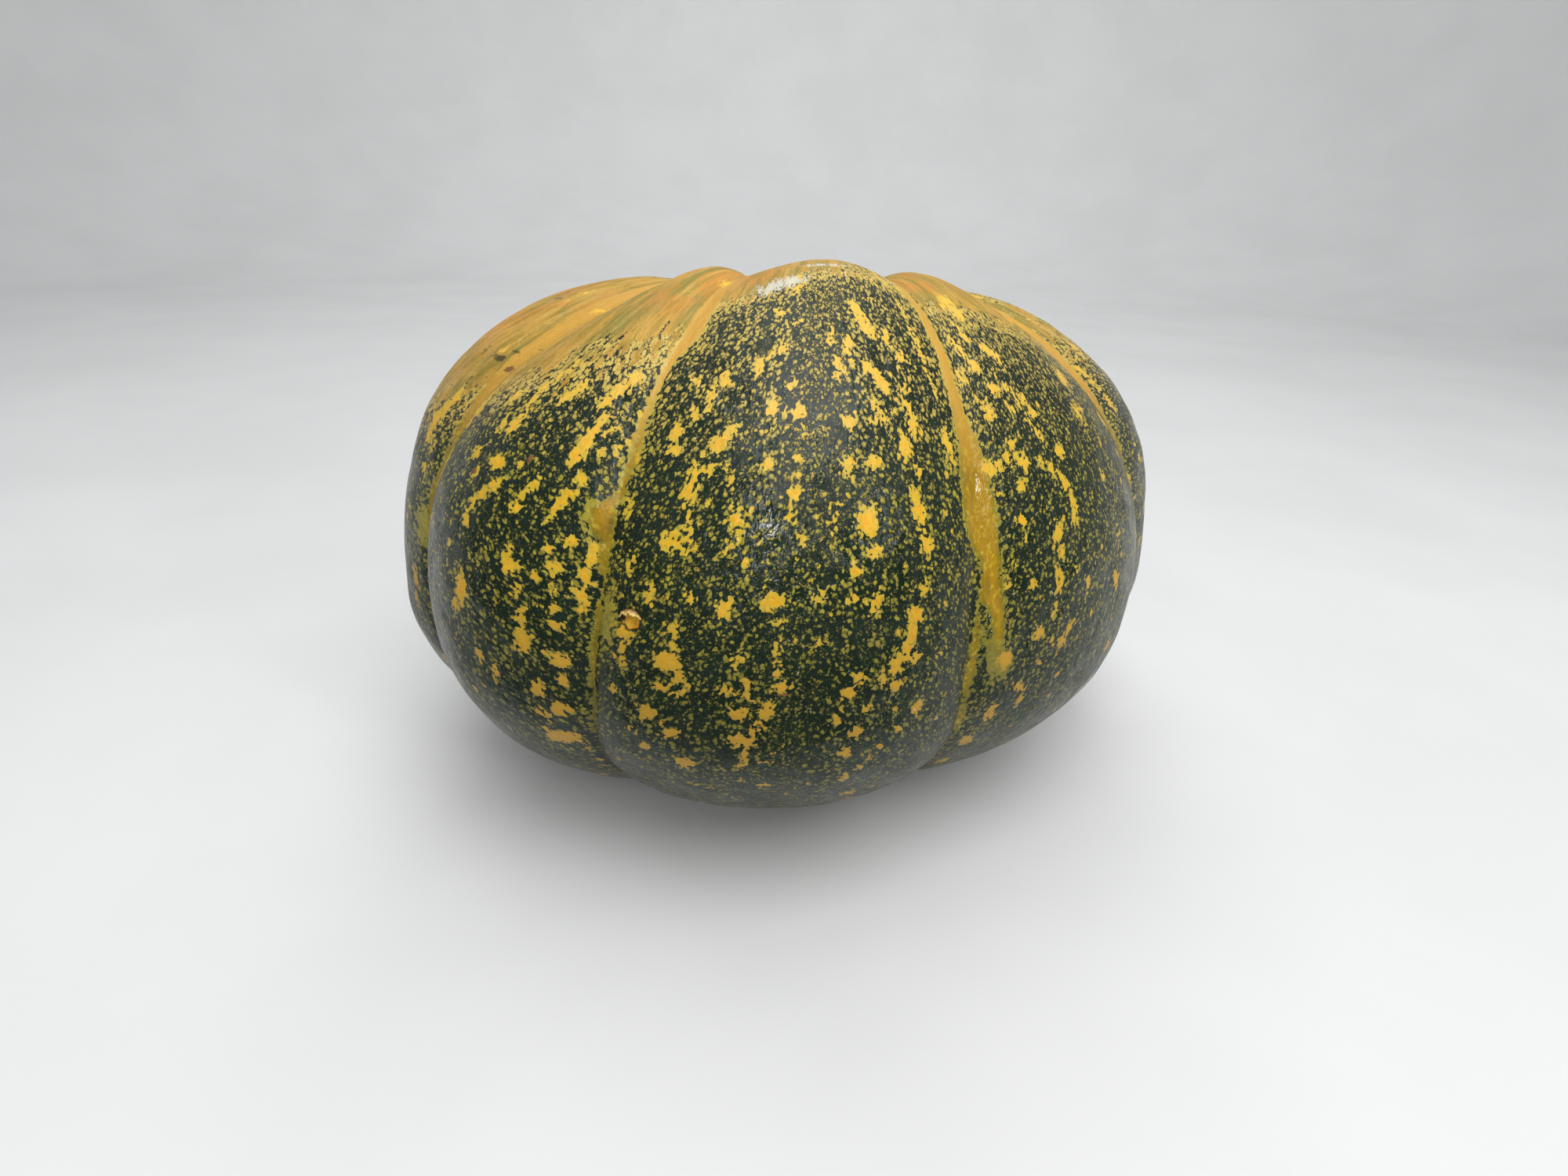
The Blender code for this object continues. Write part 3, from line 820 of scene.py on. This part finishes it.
    def fleck_colour(self):
        """Gold, deepest at a fleck's heart, paler by the stem as painted sheen and darker near the ground
        as painted shade.
        """
        tints = self.settings
        gold = self.mix(self.grain(1.1, 0.42, 0.62), tints.fleck_colour, tints.fleck_deep_colour)
        return self.layers(
            tints.edge_colour,
            (0.30 + 0.70 * self.heart, gold),
            # Paler by the stem as painted sheen.
            (0.45 * self.high, tints.fleck_sheen_colour),
            # Darker near the ground as painted shade.
            (0.85 * self.low, tints.fleck_shade_colour),
        )

    def band_colour(self):
        """Golden in the upper furrows, and mottled olive with greener edges in the lower ones."""
        tints = self.settings
        olive = self.layers(
            tints.band_olive_colour,
            (0.7 * self.grain(1.5, 0.50, 0.66), tints.edge_colour),
            (0.6 * self.grain(3.2, 0.50, 0.70, self.strand), tints.band_dark_colour),
            (0.20 * self.ramp(self.field["bands"], 0.6, 2.0), tints.fleck_deep_colour),
            (0.6 * self.ramp(self.in_band, 1.1, -0.1), tints.band_dark_colour),
        )
        golden = self.mix(self.grain(3.0, 0.35, 0.65, self.fibre), tints.band_colour, tints.ripe_colour)
        return self.mix(self.high, olive, golden)

    def ripe_colour(self):
        """Streaks of gold, straw and olive, with orange where the rind is ripest."""
        tints = self.settings
        ripe = self.field["ripe"]
        riper = ripe + self.spread(9.0, 0.35, 3.0, 0.6, self.strand)
        gilt = self.grain(9.0, 0.38, 0.58, self.strand).either(self.ramp(ripe, 0.70, 0.35))
        orange = 0.60 * self.grain(15.0, 0.44, 0.60) * self.ramp(riper, 0.8, 1.5)
        return self.layers(
            tints.ripe_olive_colour,
            (gilt, tints.ripe_colour),
            (0.50 * self.grain(3.0, 0.46, 0.70, self.fibre), tints.ripe_pale_colour),
            (orange, tints.ripe_deep_colour),
            (0.35 * self.grain(1.1, 0.50, 0.62, self.fibre), tints.ripe_olive_colour),
            (0.60 * self.grain(2.4, 0.48, 0.66, self.strand), tints.band_olive_colour),
        )

    def colour(self):
        """All the colours, from the ground up."""
        tints = self.settings
        ground = self.mix(self.noise(self.skin, 7.0, 3.0), tints.ground_colour, tints.ground_pale_colour)
        speckle = self.speckle_colour()
        gold = self.fleck_colour()
        cut = self.field["nick"] + self.spread(1.6, 0.55)
        flesh = self.mix(self.grain(1.2, 0.35, 0.65), tints.flesh_colour, tints.fleck_colour)
        return self.layers(
            ground,
            (0.40 * self.dots, speckle),
            (self.speckles, self.mix(self.flecks, speckle, gold)),
            (self.blots, gold),
            (self.ripe, self.ripe_colour()),
            (self.bands * (1.0 - 0.5 * self.pits), self.band_colour()),
            (self.ramp(self.inside, 0.1, 1.3) * (1.0 - 0.8 * self.pits), gold),
            (0.80 * self.damp, tints.damp_colour),
            (0.85 * self.cork, tints.cork_colour),
            (self.scabs, tints.scab_colour),
            # A dark ring round the nick's edge: painted shadow under the flap of peel.
            (self.ramp(cut, -0.3, 0.1), tints.nick_shadow_colour),
            (self.ramp(cut, 0.1, 0.6), flesh),
        )

    def roughness(self):
        """Satin, duller by the stem and where the rind is ripe or scarred, glossier where wet."""
        dull = 0.24 + 0.16 * self.grain(11.0, 0.35, 0.65) + 0.08 * self.flecks + 0.12 * self.ripe
        dull = dull + 0.45 * self.cork + 0.25 * self.scabs
        dull = dull + 0.18 * self.ramp(self.field["down"], 45.0, 25.0)
        return dull * (1.0 - 0.45 * self.wet.either(0.5 * self.damp))

    def normal(self):
        """Fine waves and raised speckles, which are flatter where the rind is wet."""
        waves = self.noise(self.skin, 8.0) + self.noise(self.skin, 3.2, 2.0)
        waves = waves + 0.35 * self.noise(self.shaken, 1.3)
        waves = waves + 0.22 * self.speckles + 0.4 * self.cork - 0.2 * self.pits
        waves = waves * (1.0 - 0.55 * self.wet)
        return self.bump(waves, self.settings.waviness, 0.9 * MM)


def rind_material(settings):
    """Dark green rind with golden flecks, fine speckles and paler furrows."""
    graph = RindGraph(settings)
    graph.finish(Specular_IOR_Level=settings.sheen)
    return graph.finish(
        Base_Color=graph.colour(), Roughness=graph.roughness(), Normal=graph.normal()
    )


def stem_material(settings):
    """Dry, fibrous cork, browner in its grooves and pale where it was cut."""
    graph = Graph("corky_stub")
    place = graph.vector("DIVIDE", graph.place(), (MM, MM, MM))
    strand = graph.vector("MULTIPLY", place, (1.0, 1.0, 0.22))
    cut = graph.attribute("cut")
    fibres = graph.noise(strand, 0.9, 4.0, 0.65)
    patch = graph.noise(place, 5.0, 3.0)
    pores = graph.ramp(graph.noise(place, 1.1, 3.0), 0.4, 0.65)
    colour = graph.layers(
        settings.groove_colour,
        (graph.ramp(fibres, 0.38, 0.66), settings.cork_colour),
        (0.6 * graph.ramp(patch, 0.5, 0.72), settings.green_colour),
        (0.8 * cut, graph.mix(pores, settings.cut_colour, settings.groove_colour)),
    )
    normal = graph.bump(fibres + 0.5 * patch, 0.8, 0.6 * MM)
    return graph.finish(Base_Color=colour, Roughness=0.70 + 0.2 * fibres, Normal=normal)


def flap_material(settings):
    """Dried peel: straw-coloured at its lip and brown at its root."""
    graph = Graph("dried_peel")
    patchy = graph.noise(graph.place(), 1.2 * MM, 3.0)
    dry = graph.ramp(graph.attribute("lip") + (patchy - 0.5), 0.2, 0.8)
    colour = graph.mix(dry, settings.scab_colour, settings.ripe_pale_colour)
    return graph.finish(Base_Color=colour, Roughness=0.45, Normal=graph.bump(patchy, 0.4, 0.3 * MM))


def card_material():
    """Black card with a faint weave."""
    graph = Graph("black_card")
    weave = graph.mix(graph.noise(graph.place(), 0.02), (0.015,) * 3, (0.025,) * 3)
    return graph.finish(Base_Color=weave, Roughness=0.9)


def daylight(settings):
    """Light from all round, brighter overhead than near the horizon."""
    graph = Graph("daylight", bpy.data.worlds)
    rise = graph.node("ShaderNodeSeparateXYZ", {}, {0: graph.place("Generated")}, "Z")
    reach = {"To Min": settings.horizon_light, "To Max": settings.zenith_light}
    strength = graph.node("ShaderNodeMapRange", {}, {"Value": rise, "From Min": -0.1, **reach})
    return graph.finish(Color=(0.95, 0.98, 1.0, 1.0), Strength=strength)


def paper_material(settings):
    """Matt white paper with hardly visible creases."""
    graph = Graph("pale_paper")
    crease = graph.noise(graph.place(), 0.16, 3.0, 0.55)
    shaded = tuple(0.95 * part for part in settings.paper_colour)
    tone = graph.mix(graph.ramp(crease, 0.3, 0.7), settings.paper_colour, shaded)
    return graph.finish(Base_Color=tone, Roughness=0.85, Normal=graph.bump(crease, 0.25, 0.01))


# ---------------------------------------------------------------------------------------------
# Settings
# ---------------------------------------------------------------------------------------------


def colour_property(name, description, default):
    """A colour swatch."""
    return bpy.props.FloatVectorProperty(
        name=name, description=description, default=default, size=3, min=0.0, max=1.0, subtype="COLOR"
    )


def number_property(name, description, default, least=0.0, **more):
    """A number with a least value."""
    return bpy.props.FloatProperty(
        name=name, description=description, default=default, min=least, **more
    )


class SquashRindSettings(bpy.types.PropertyGroup):
    """Colours of the rind."""

    ground_colour: colour_property("Ground", "Darkest green of the rind", (0.005, 0.011, 0.006))
    ground_pale_colour: colour_property("Pale ground", "Lighter green of the rind", (0.015, 0.029, 0.017))
    speckle_colour: colour_property("Speckles", "Fine speckles", (0.24, 0.21, 0.028))
    # Paler speckles, for ripe rind and as painted sheen by the stem.
    speckle_ripe_and_sheen_colour: colour_property("High speckles", "Speckles by the stem", (0.58, 0.42, 0.09))
    # Darker speckles, as painted shade near the ground.
    speckle_shade_colour: colour_property("Low speckles", "Speckles near the ground", (0.10, 0.095, 0.020))
    edge_colour: colour_property("Fleck edges", "Where a fleck thins out", (0.50, 0.40, 0.040))
    fleck_colour: colour_property("Flecks", "Flecks in full gold", (0.76, 0.44, 0.020))
    fleck_deep_colour: colour_property("Deep flecks", "Deeper gold in flecks", (0.76, 0.34, 0.008))
    # Paler flecks, as painted sheen by the stem.
    fleck_sheen_colour: colour_property("High flecks", "Flecks by the stem", (0.80, 0.50, 0.09))
    # Darker flecks, as painted shade near the ground.
    fleck_shade_colour: colour_property("Low flecks", "Flecks near the ground", (0.36, 0.20, 0.020))
    band_colour: colour_property("Bands", "Bands in the upper furrows", (0.60, 0.33, 0.05))
    band_olive_colour: colour_property("Olive bands", "Bands in the lower furrows", (0.27, 0.175, 0.007))
    band_dark_colour: colour_property("Dark band streaks", "Greener streaks in them", (0.07, 0.07, 0.010))
    ripe_colour: colour_property("Ripe rind", "Rind that has ripened", (0.54, 0.30, 0.046))
    ripe_deep_colour: colour_property("Ripest rind", "Rind that has turned orange", (0.64, 0.25, 0.04))
    ripe_pale_colour: colour_property("Straw rind", "Palest streaks in ripe rind", (0.68, 0.46, 0.12))
    ripe_olive_colour: colour_property("Half-ripe rind", "Rind that is turning", (0.25, 0.20, 0.035))
    cork_colour: colour_property("Cork", "Flaky, corky skin", (0.62, 0.60, 0.50))
    scab_colour: colour_property("Scabs", "Healed scabs", (0.20, 0.10, 0.03))
    damp_colour: colour_property("Damp spots", "Water-logged rind", (0.014, 0.020, 0.004))
    # Painted shadow round the nick's edge, under the flap of peel.
    nick_shadow_colour: colour_property("Nick shadow", "Dark edge of the nick", (0.030, 0.020, 0.006))
    flesh_colour: colour_property("Flesh", "Flesh in the nick", (0.62, 0.28, 0.02))
    sheen: number_property("Sheen", "Specular level of the waxy rind", 0.32, max=1.0)
    waviness: number_property("Waviness", "Strength of the fine relief", 0.42, max=1.0)


class SquashStemSettings(bpy.types.PropertyGroup):
    """Colours of the stem stub."""

    cork_colour: colour_property("Cork", "Dry cork", (0.42, 0.33, 0.19))
    groove_colour: colour_property("Grooves", "Cork in the grooves", (0.16, 0.11, 0.055))
    green_colour: colour_property("Green", "Cork that is still green", (0.16, 0.17, 0.06))
    cut_colour: colour_property("Cut", "The cut end", (0.50, 0.40, 0.24))


class SquashStageSettings(bpy.types.PropertyGroup):
    """Paper, cards, lamps and camera."""

    paper_colour: colour_property("Paper", "Colour of the paper sweep", (0.74, 0.74, 0.74))
    sweep_radius: number_property("Sweep radius", "Radius of the flat paper", 1.5, 0.3, unit="LENGTH")
    sweep_curl: number_property("Sweep curl", "Radius of the paper's curl", 0.6, 0.05, unit="LENGTH")
    sweep_height: number_property("Sweep height", "Height of the paper's wall", 1.8, 0.1, unit="LENGTH")
    flag_radius: number_property("Card radius", "Radius of the dark card's bend", 0.52, 0.1, unit="LENGTH")
    flag_height: number_property("Card height", "Height of the dark card", 0.20, 0.1, unit="LENGTH")
    lens: number_property("Lens", "Focal length in millimetres, on a 36 mm sensor", 19.494, 5.0)
    horizon_light: number_property("Horizon light", "Strength of the light near the horizon", 0.05)
    zenith_light: number_property("Zenith light", "Strength of the light from overhead", 0.52)
    key_power: number_property("Key lamp", "Watts of the small lamp in front", 2.0)
    side_power: number_property("Side lamp", "Watts of the small lamp to the right", 1.1)
    front_power: number_property("Front lamp", "Watts of the broad lamp above the front", 10.2)
    top_power: number_property("Top lamp", "Watts of the broad lamp overhead", 3.2)
    wall_power: number_property("Wall lamp", "Watts of the lamp on the paper wall", 6.5)


# ---------------------------------------------------------------------------------------------
# Operators
# ---------------------------------------------------------------------------------------------


class SQUASH_OT_rind(bpy.types.Operator):
    """Adds the ribbed rind with its flecks, bands and scars"""

    bl_idname = "squash.rind"
    bl_label = "Rind"

    def execute(self, context):
        deselect_all()
        columns = sum(COLUMNS)
        rings = RING_STOPS[-1][0]
        bpy.ops.mesh.primitive_uv_sphere_add(segments=columns, ring_count=rings, radius=1.0)
        skin = context.object
        skin.name = "fruit_skin"
        mesh = skin.data
        mesh.name = "fruit_skin"

        places = np.empty(len(mesh.vertices) * 3)
        mesh.vertices.foreach_get("co", places)
        places = places.reshape(-1, 3)
        ring = np.round(np.arccos(np.clip(places[:, 2], -1.0, 1.0)) / np.pi * rings).astype(int)
        turn = np.arctan2(places[:, 0], -places[:, 1]) / math.tau
        column = np.round(turn * columns).astype(int) % columns

        rind = Rind()
        shaped = rind.points + rind.normals() * relief(rind)[..., None] * MM
        shaped[..., 2] = np.maximum(shaped[..., 2], 0.0)
        shaped[0] = shaped[0].mean(axis=0)
        shaped[-1] = shaped[-1].mean(axis=0)
        mesh.vertices.foreach_set("co", shaped[ring, column].ravel())

        around = np.broadcast_to(self.around(rind), (rings + 1, columns, 2))
        rind_place = np.concatenate((around, rind.arc[..., None]), axis=2)
        carry(mesh, "rind_place", rind_place[ring, column], "FLOAT_VECTOR", "vector")
        for name, field in self.fields(rind).items():
            carry(mesh, name, field[ring, column])
        mesh.update()
        bpy.ops.object.shade_smooth()
        mesh.materials.append(rind_material(context.scene.squash_rind))
        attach(skin, "root")
        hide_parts("fruit")
        return {"FINISHED"}

    @staticmethod
    def around(rind):
        """Two coordinates that go round with the columns, in millimetres."""
        waist = seam_azimuths(np.zeros(1))[:, 0]
        azimuth = np.interp(rind.along, np.arange(len(waist)), waist)
        radius = HALF_WIDTH / MM
        return np.stack((radius * np.cos(azimuth), radius * np.sin(azimuth)), axis=-1)[None]

    @staticmethod
    def fields(rind):
        """What the rind's material needs to know at each point."""
        draw = np.random.default_rng(PATTERN_SEED)
        flecks = (*FLECKS, *loose_flecks(draw))
        bands = (*BANDS, *back_bands(draw))
        spots = largest(rind.spot(*fleck) for fleck in flecks)
        streaks = largest(rind.streak(*streak) for streak in STREAKS)
        # The blossom end has a scar, and the foot of the stem a corky rim.
        blossom_scar = 4.0 - (rind.arc[-1] - rind.arc)
        rim = 0.55 * np.exp(-(((rind.arc - 14.0) / 2.5) ** 2))
        patches = {
            "olive": OLIVE_PATCHES,
            "ripe": RIPE_PATCHES,
            "cork": CORK_PATCHES,
            "damp": DAMP_SPOTS,
            "wet": WET_PATCHES,
        }
        fields = {
            name: sum(rind.soft_spot(*patch) for patch in rows) for name, rows in patches.items()
        }
        fields["cork"] = fields["cork"] + rim
        fields["flecks"] = np.maximum(spots, streaks)
        fields["bands"] = largest(rind.band(*band) for band in bands)
        fields["scabs"] = np.maximum(largest(rind.spot(*scab) for scab in SCABS), blossom_scar)
        fields["nick"] = rind.spot(*NICK)
        fields["down"] = np.broadcast_to(rind.polar[:, None], rind.arc.shape)
        return fields


class SQUASH_OT_flap(bpy.types.Operator):
    """Adds the flap of peel that stands up over the nick"""

    bl_idname = "squash.flap"
    bl_label = "Flap of peel"

    def execute(self, context):
        deselect_all()
        along, polar, half_width, half_length = NICK
        place, right, down, out = Rind().at(along, polar)
        place = place + MM * swelling(place) * out
        bpy.ops.mesh.primitive_grid_add(x_subdivisions=28, y_subdivisions=6, size=2.0)
        flap = context.object
        flap.name = "peel_flap"
        flap.data.name = "peel_flap"
        lips = []
        for vertex in flap.data.vertices:
            share, lip = 0.5 * (vertex.co.x + 1.0), 0.5 * (vertex.co.y + 1.0)
            angle = math.radians(FLAP_START - FLAP_TURN * share)
            arch = math.sin(math.pi * share)
            ragged = 0.16 * math.sin(19.0 * share) + 0.10 * math.sin(41.0 * share + 1.0)
            reach = 1.22 - (0.42 + ragged) * lip * arch
            lift = -0.4 + (1.8 * lip - 0.6 * lip * lip) * (0.35 + arch)
            across = half_width * reach * math.cos(angle)
            along_down = -half_length * reach * math.sin(angle)
            vertex.co = place + MM * (across * right + along_down * down + lift * out)
            lips.append(lip)
        carry(flap.data, "lip", lips)
        bpy.ops.object.mode_set(mode="EDIT")
        bpy.ops.mesh.select_all(action="SELECT")
        bpy.ops.mesh.normals_make_consistent(inside=False)
        bpy.ops.object.mode_set(mode="OBJECT")
        thick = flap.modifiers.new("peel", "SOLIDIFY")
        thick.thickness = 0.30 * MM
        thick.offset = 0.0
        bpy.ops.object.modifier_apply(modifier=thick.name)
        bpy.ops.object.shade_smooth()
        flap.data.materials.append(flap_material(context.scene.squash_rind))
        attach(flap, "root")
        return {"FINISHED"}


class SQUASH_OT_stem(bpy.types.Operator):
    """Adds the cut stub of the corky stem"""

    bl_idname = "squash.stem"
    bl_label = "Stem stub"

    def execute(self, context):
        deselect_all()
        low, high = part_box("stem")
        bpy.ops.mesh.primitive_cylinder_add(vertices=STEM_SIDES, radius=1.0, depth=1.0)
        stub = context.object
        stub.name = "stem_stub"
        stub.data.name = "stem_stub"
        self.divide(stub)
        cuts = []
        for vertex in stub.data.vertices:
            on_end = vertex.co.z > 0.499
            cuts.append(1.0 if on_end and math.hypot(vertex.co.x, vertex.co.y) < 0.97 else 0.0)
            vertex.co = self.shaped(vertex.co, on_end)
        carry(stub.data, "cut", cuts)
        stub.data.transform(Matrix.Rotation(-STEM_LEAN, 4, "X"))
        own_low = Vector(min(v.co[axis] for v in stub.data.vertices) for axis in range(3))
        own_high = Vector(max(v.co[axis] for v in stub.data.vertices) for axis in range(3))
        stub.data.transform(Matrix.Translation(0.5 * (low + high - own_low - own_high)))
        bpy.ops.object.shade_smooth()
        stub.data.materials.append(stem_material(context.scene.squash_stem))
        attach(stub, "root")
        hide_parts("stem")
        return {"FINISHED"}

    @staticmethod
    def divide(stub):
        """Divides the sides into rings and insets both ends down to a small middle face."""
        bpy.ops.object.mode_set(mode="EDIT")
        bpy.ops.mesh.select_mode(type="EDGE")
        bpy.ops.mesh.select_all(action="DESELECT")
        mesh = bmesh.from_edit_mesh(stub.data)
        for edge in mesh.edges:
            edge.select_set(abs(edge.verts[0].co.z - edge.verts[1].co.z) > 0.5)
        bmesh.update_edit_mesh(stub.data)
        bpy.ops.mesh.subdivide(number_cuts=STEM_CUTS)
        bpy.ops.mesh.select_mode(type="FACE")
        for end in (-0.5, 0.5):
            bpy.ops.mesh.select_all(action="DESELECT")
            mesh = bmesh.from_edit_mesh(stub.data)
            for face in mesh.faces:
                face.select_set(abs(face.calc_center_median().z - end) < 1e-4)
            bmesh.update_edit_mesh(stub.data)
            for _ring in range(END_RINGS):
                bpy.ops.mesh.inset(thickness=END_RING_WIDTH)
            bpy.ops.mesh.poke()
        bpy.ops.object.mode_set(mode="OBJECT")

    @staticmethod
    def shaped(place, on_end):
        """A point of the unit cylinder, moved to the stub's surface."""
        height = -STEM_ROOT_DEPTH + (place.z + 0.5) * (STEM_HEIGHT + STEM_ROOT_DEPTH)
        angle = math.atan2(place.y, place.x)
        reach = min(1.0, math.hypot(place.x, place.y))
        flare = math.exp(-((max(height, 0.0) / STEM_FLARE_HEIGHT) ** 2))
        radius = STEM_RADIUS + (STEM_ROOT_RADIUS - STEM_RADIUS) * flare
        radius *= 1.0 + STEM_CORNER_DEPTH * math.cos(STEM_CORNERS * angle)
        around = Vector((math.cos(angle), math.sin(angle), 0.0))
        fibre = noise.noise(around * 7.0 + Vector((0.0, 0.0, 90.0 * height)))
        fibre += 0.6 * noise.noise(around * 17.0 + Vector((3.0, 1.0, 60.0 * height)))
        radius += 0.35 * MM * (fibre - 0.6) * reach
        shaped = radius * reach * around
        shaped.z = height + STEM_CUT_SLOPE * shaped.x * max(height, 0.0) / STEM_HEIGHT
        if on_end:
            rings = 0.12 * math.sin(26.0 * reach)
            pith = -1.3 * math.exp(-((reach / 0.16) ** 2))
            torn = 0.5 * noise.noise(shaped * 900.0)
            shaped.z += MM * (rings + pith + torn - 0.3 - 0.9 * (1.0 - reach * reach))
        return shaped


class SQUASH_OT_stage(bpy.types.Operator):
    """Adds the paper sweep, the dark cards, the lamps and the camera"""

    bl_idname = "squash.stage"
    bl_label = "Stage"

    def execute(self, context):
        settings = context.scene.squash_stage
        self.add_sweep(context, settings)
        self.add_cards(context, settings)
        for name, (size, place, target) in LAMPS.items():
            self.add_lamp(name + "_lamp", getattr(settings, name + "_power"), size, place, target)
        context.scene.world = daylight(settings)
        context.scene.view_settings.view_transform = "Standard"
        self.add_camera(context, settings)
        return {"FINISHED"}

    @staticmethod
    def add_sweep(context, settings):
        """A round table of paper, which curls up into a wall all round, far from the squash."""
        deselect_all()
        radius = settings.sweep_radius
        curl = settings.sweep_curl
        bpy.ops.mesh.primitive_circle_add(vertices=128, radius=radius, fill_type="NGON")
        sweep = context.object
        sweep.name = "paper_sweep"
        bpy.ops.object.mode_set(mode="EDIT")
        bpy.ops.mesh.select_mode(type="EDGE")
        bpy.ops.mesh.select_all(action="SELECT")
        bpy.ops.mesh.region_to_loop()
        steps = 12
        reach, height = radius, 0.0
        for step in range(1, steps + 2):
            bend = 0.5 * math.pi * min(step, steps) / steps
            next_reach = radius + curl * math.sin(bend)
            next_height = curl * (1.0 - math.cos(bend)) if step <= steps else settings.sweep_height
            rise = (0.0, 0.0, next_height - height)
            bpy.ops.mesh.extrude_region_move(TRANSFORM_OT_translate={"value": rise})
            grow = next_reach / reach
            bpy.ops.transform.resize(value=(grow, grow, 1.0), center_override=(0.0, 0.0, 0.0))
            reach, height = next_reach, next_height
        bpy.ops.object.mode_set(mode="OBJECT")
        bpy.ops.object.shade_smooth()
        floor = max(sweep.data.polygons, key=lambda face: face.area)
        floor.use_smooth = False
        sweep.data.materials.append(paper_material(settings))

    @staticmethod
    def add_cards(context, settings):
        """A dark card bent round the front, which keeps light off the lower rind, and a dark mat
        before it, which only shows in the rind's gloss."""
        deselect_all()
        bpy.ops.mesh.primitive_cylinder_add(
            vertices=64,
            radius=settings.flag_radius,
            depth=settings.flag_height,
            end_fill_type="NOTHING",
            location=(0.0, 0.0, 0.5 * settings.flag_height),
        )
        flag = context.object
        flag.name = "dark_flag"
        bpy.ops.object.transform_apply(location=True, rotation=True, scale=True)
        bpy.ops.object.mode_set(mode="EDIT")
        bpy.ops.mesh.select_mode(type="FACE")
        bpy.ops.mesh.select_all(action="DESELECT")
        mesh = bmesh.from_edit_mesh(flag.data)
        for face in mesh.faces:
            face.select_set(face.calc_center_median().y > -0.2 * settings.flag_radius)
        bmesh.update_edit_mesh(flag.data)
        bpy.ops.mesh.delete(type="FACE")
        bpy.ops.mesh.select_all(action="SELECT")
        bpy.ops.mesh.flip_normals()
        bpy.ops.object.mode_set(mode="OBJECT")
        bpy.ops.mesh.primitive_plane_add(size=1.0, location=MAT_PLACE)
        mat = context.object
        mat.name = "dark_mat"
        mat.scale = (*MAT_SIZE, 1.0)
        bpy.ops.object.transform_apply(location=True, rotation=True, scale=True)
        card = card_material()
        for piece in (flag, mat):
            piece.visible_camera = False
            piece.visible_shadow = False
            piece.visible_diffuse = piece is flag
            piece.data.materials.append(card)

    @staticmethod
    def add_lamp(name, power, size, place, target):
        """A square lamp that faces a target."""
        deselect_all()
        bpy.ops.object.light_add(type="AREA", location=place)
        lamp = bpy.context.object
        lamp.name = name
        lamp.data.energy = power
        lamp.data.size = size
        aim = Vector(target) - Vector(place)
        lamp.rotation_euler = aim.to_track_quat("-Z", "Y").to_euler()

    @staticmethod
    def add_camera(context, settings):
        """The camera stands in front, a little above the squash, and looks down at it."""
        deselect_all()
        ahead = Vector((math.sin(CAMERA_YAW), math.cos(CAMERA_YAW), 0.0))
        forward = ahead * math.cos(CAMERA_PITCH) - Vector((0.0, 0.0, math.sin(CAMERA_PITCH)))
        level = Vector((ahead.y, -ahead.x, 0.0))
        above = level.cross(forward)
        right = level * math.cos(CAMERA_ROLL) + above * math.sin(CAMERA_ROLL)
        up = above * math.cos(CAMERA_ROLL) - level * math.sin(CAMERA_ROLL)
        bpy.ops.object.camera_add(location=CAMERA_PLACE)
        camera = context.object
        camera.name = "camera"
        axes = Matrix((right, up, -forward)).transposed()
        camera.rotation_euler = axes.to_euler()
        camera.data.sensor_width = SENSOR_WIDTH
        camera.data.lens = settings.lens
        camera.data.clip_start = 0.01
        context.scene.camera = camera


class SQUASH_PT_panel(bpy.types.Panel):
    """Lists the pieces of the squash and the stage"""

    bl_label = "Kabocha squash"
    bl_idname = "SQUASH_PT_panel"
    bl_space_type = "VIEW_3D"
    bl_region_type = "UI"
    bl_category = "Squash"

    def draw(self, context):
        for operator in OPERATORS:
            self.layout.operator(operator.bl_idname)


OPERATORS = (SQUASH_OT_rind, SQUASH_OT_flap, SQUASH_OT_stem, SQUASH_OT_stage)
SETTINGS = {
    "squash_rind": SquashRindSettings,
    "squash_stem": SquashStemSettings,
    "squash_stage": SquashStageSettings,
}


def register():
    for name, group in SETTINGS.items():
        bpy.utils.register_class(group)
        setattr(bpy.types.Scene, name, bpy.props.PointerProperty(type=group))
    for made in (*OPERATORS, SQUASH_PT_panel):
        bpy.utils.register_class(made)


def unregister():
    for made in (SQUASH_PT_panel, *reversed(OPERATORS)):
        bpy.utils.unregister_class(made)
    for name, group in SETTINGS.items():
        delattr(bpy.types.Scene, name)
        bpy.utils.unregister_class(group)


def main():
    register()
    bpy.ops.squash.rind()
    bpy.ops.squash.flap()
    bpy.ops.squash.stem()
    bpy.ops.squash.stage()


if __name__ == "__main__":
    main()
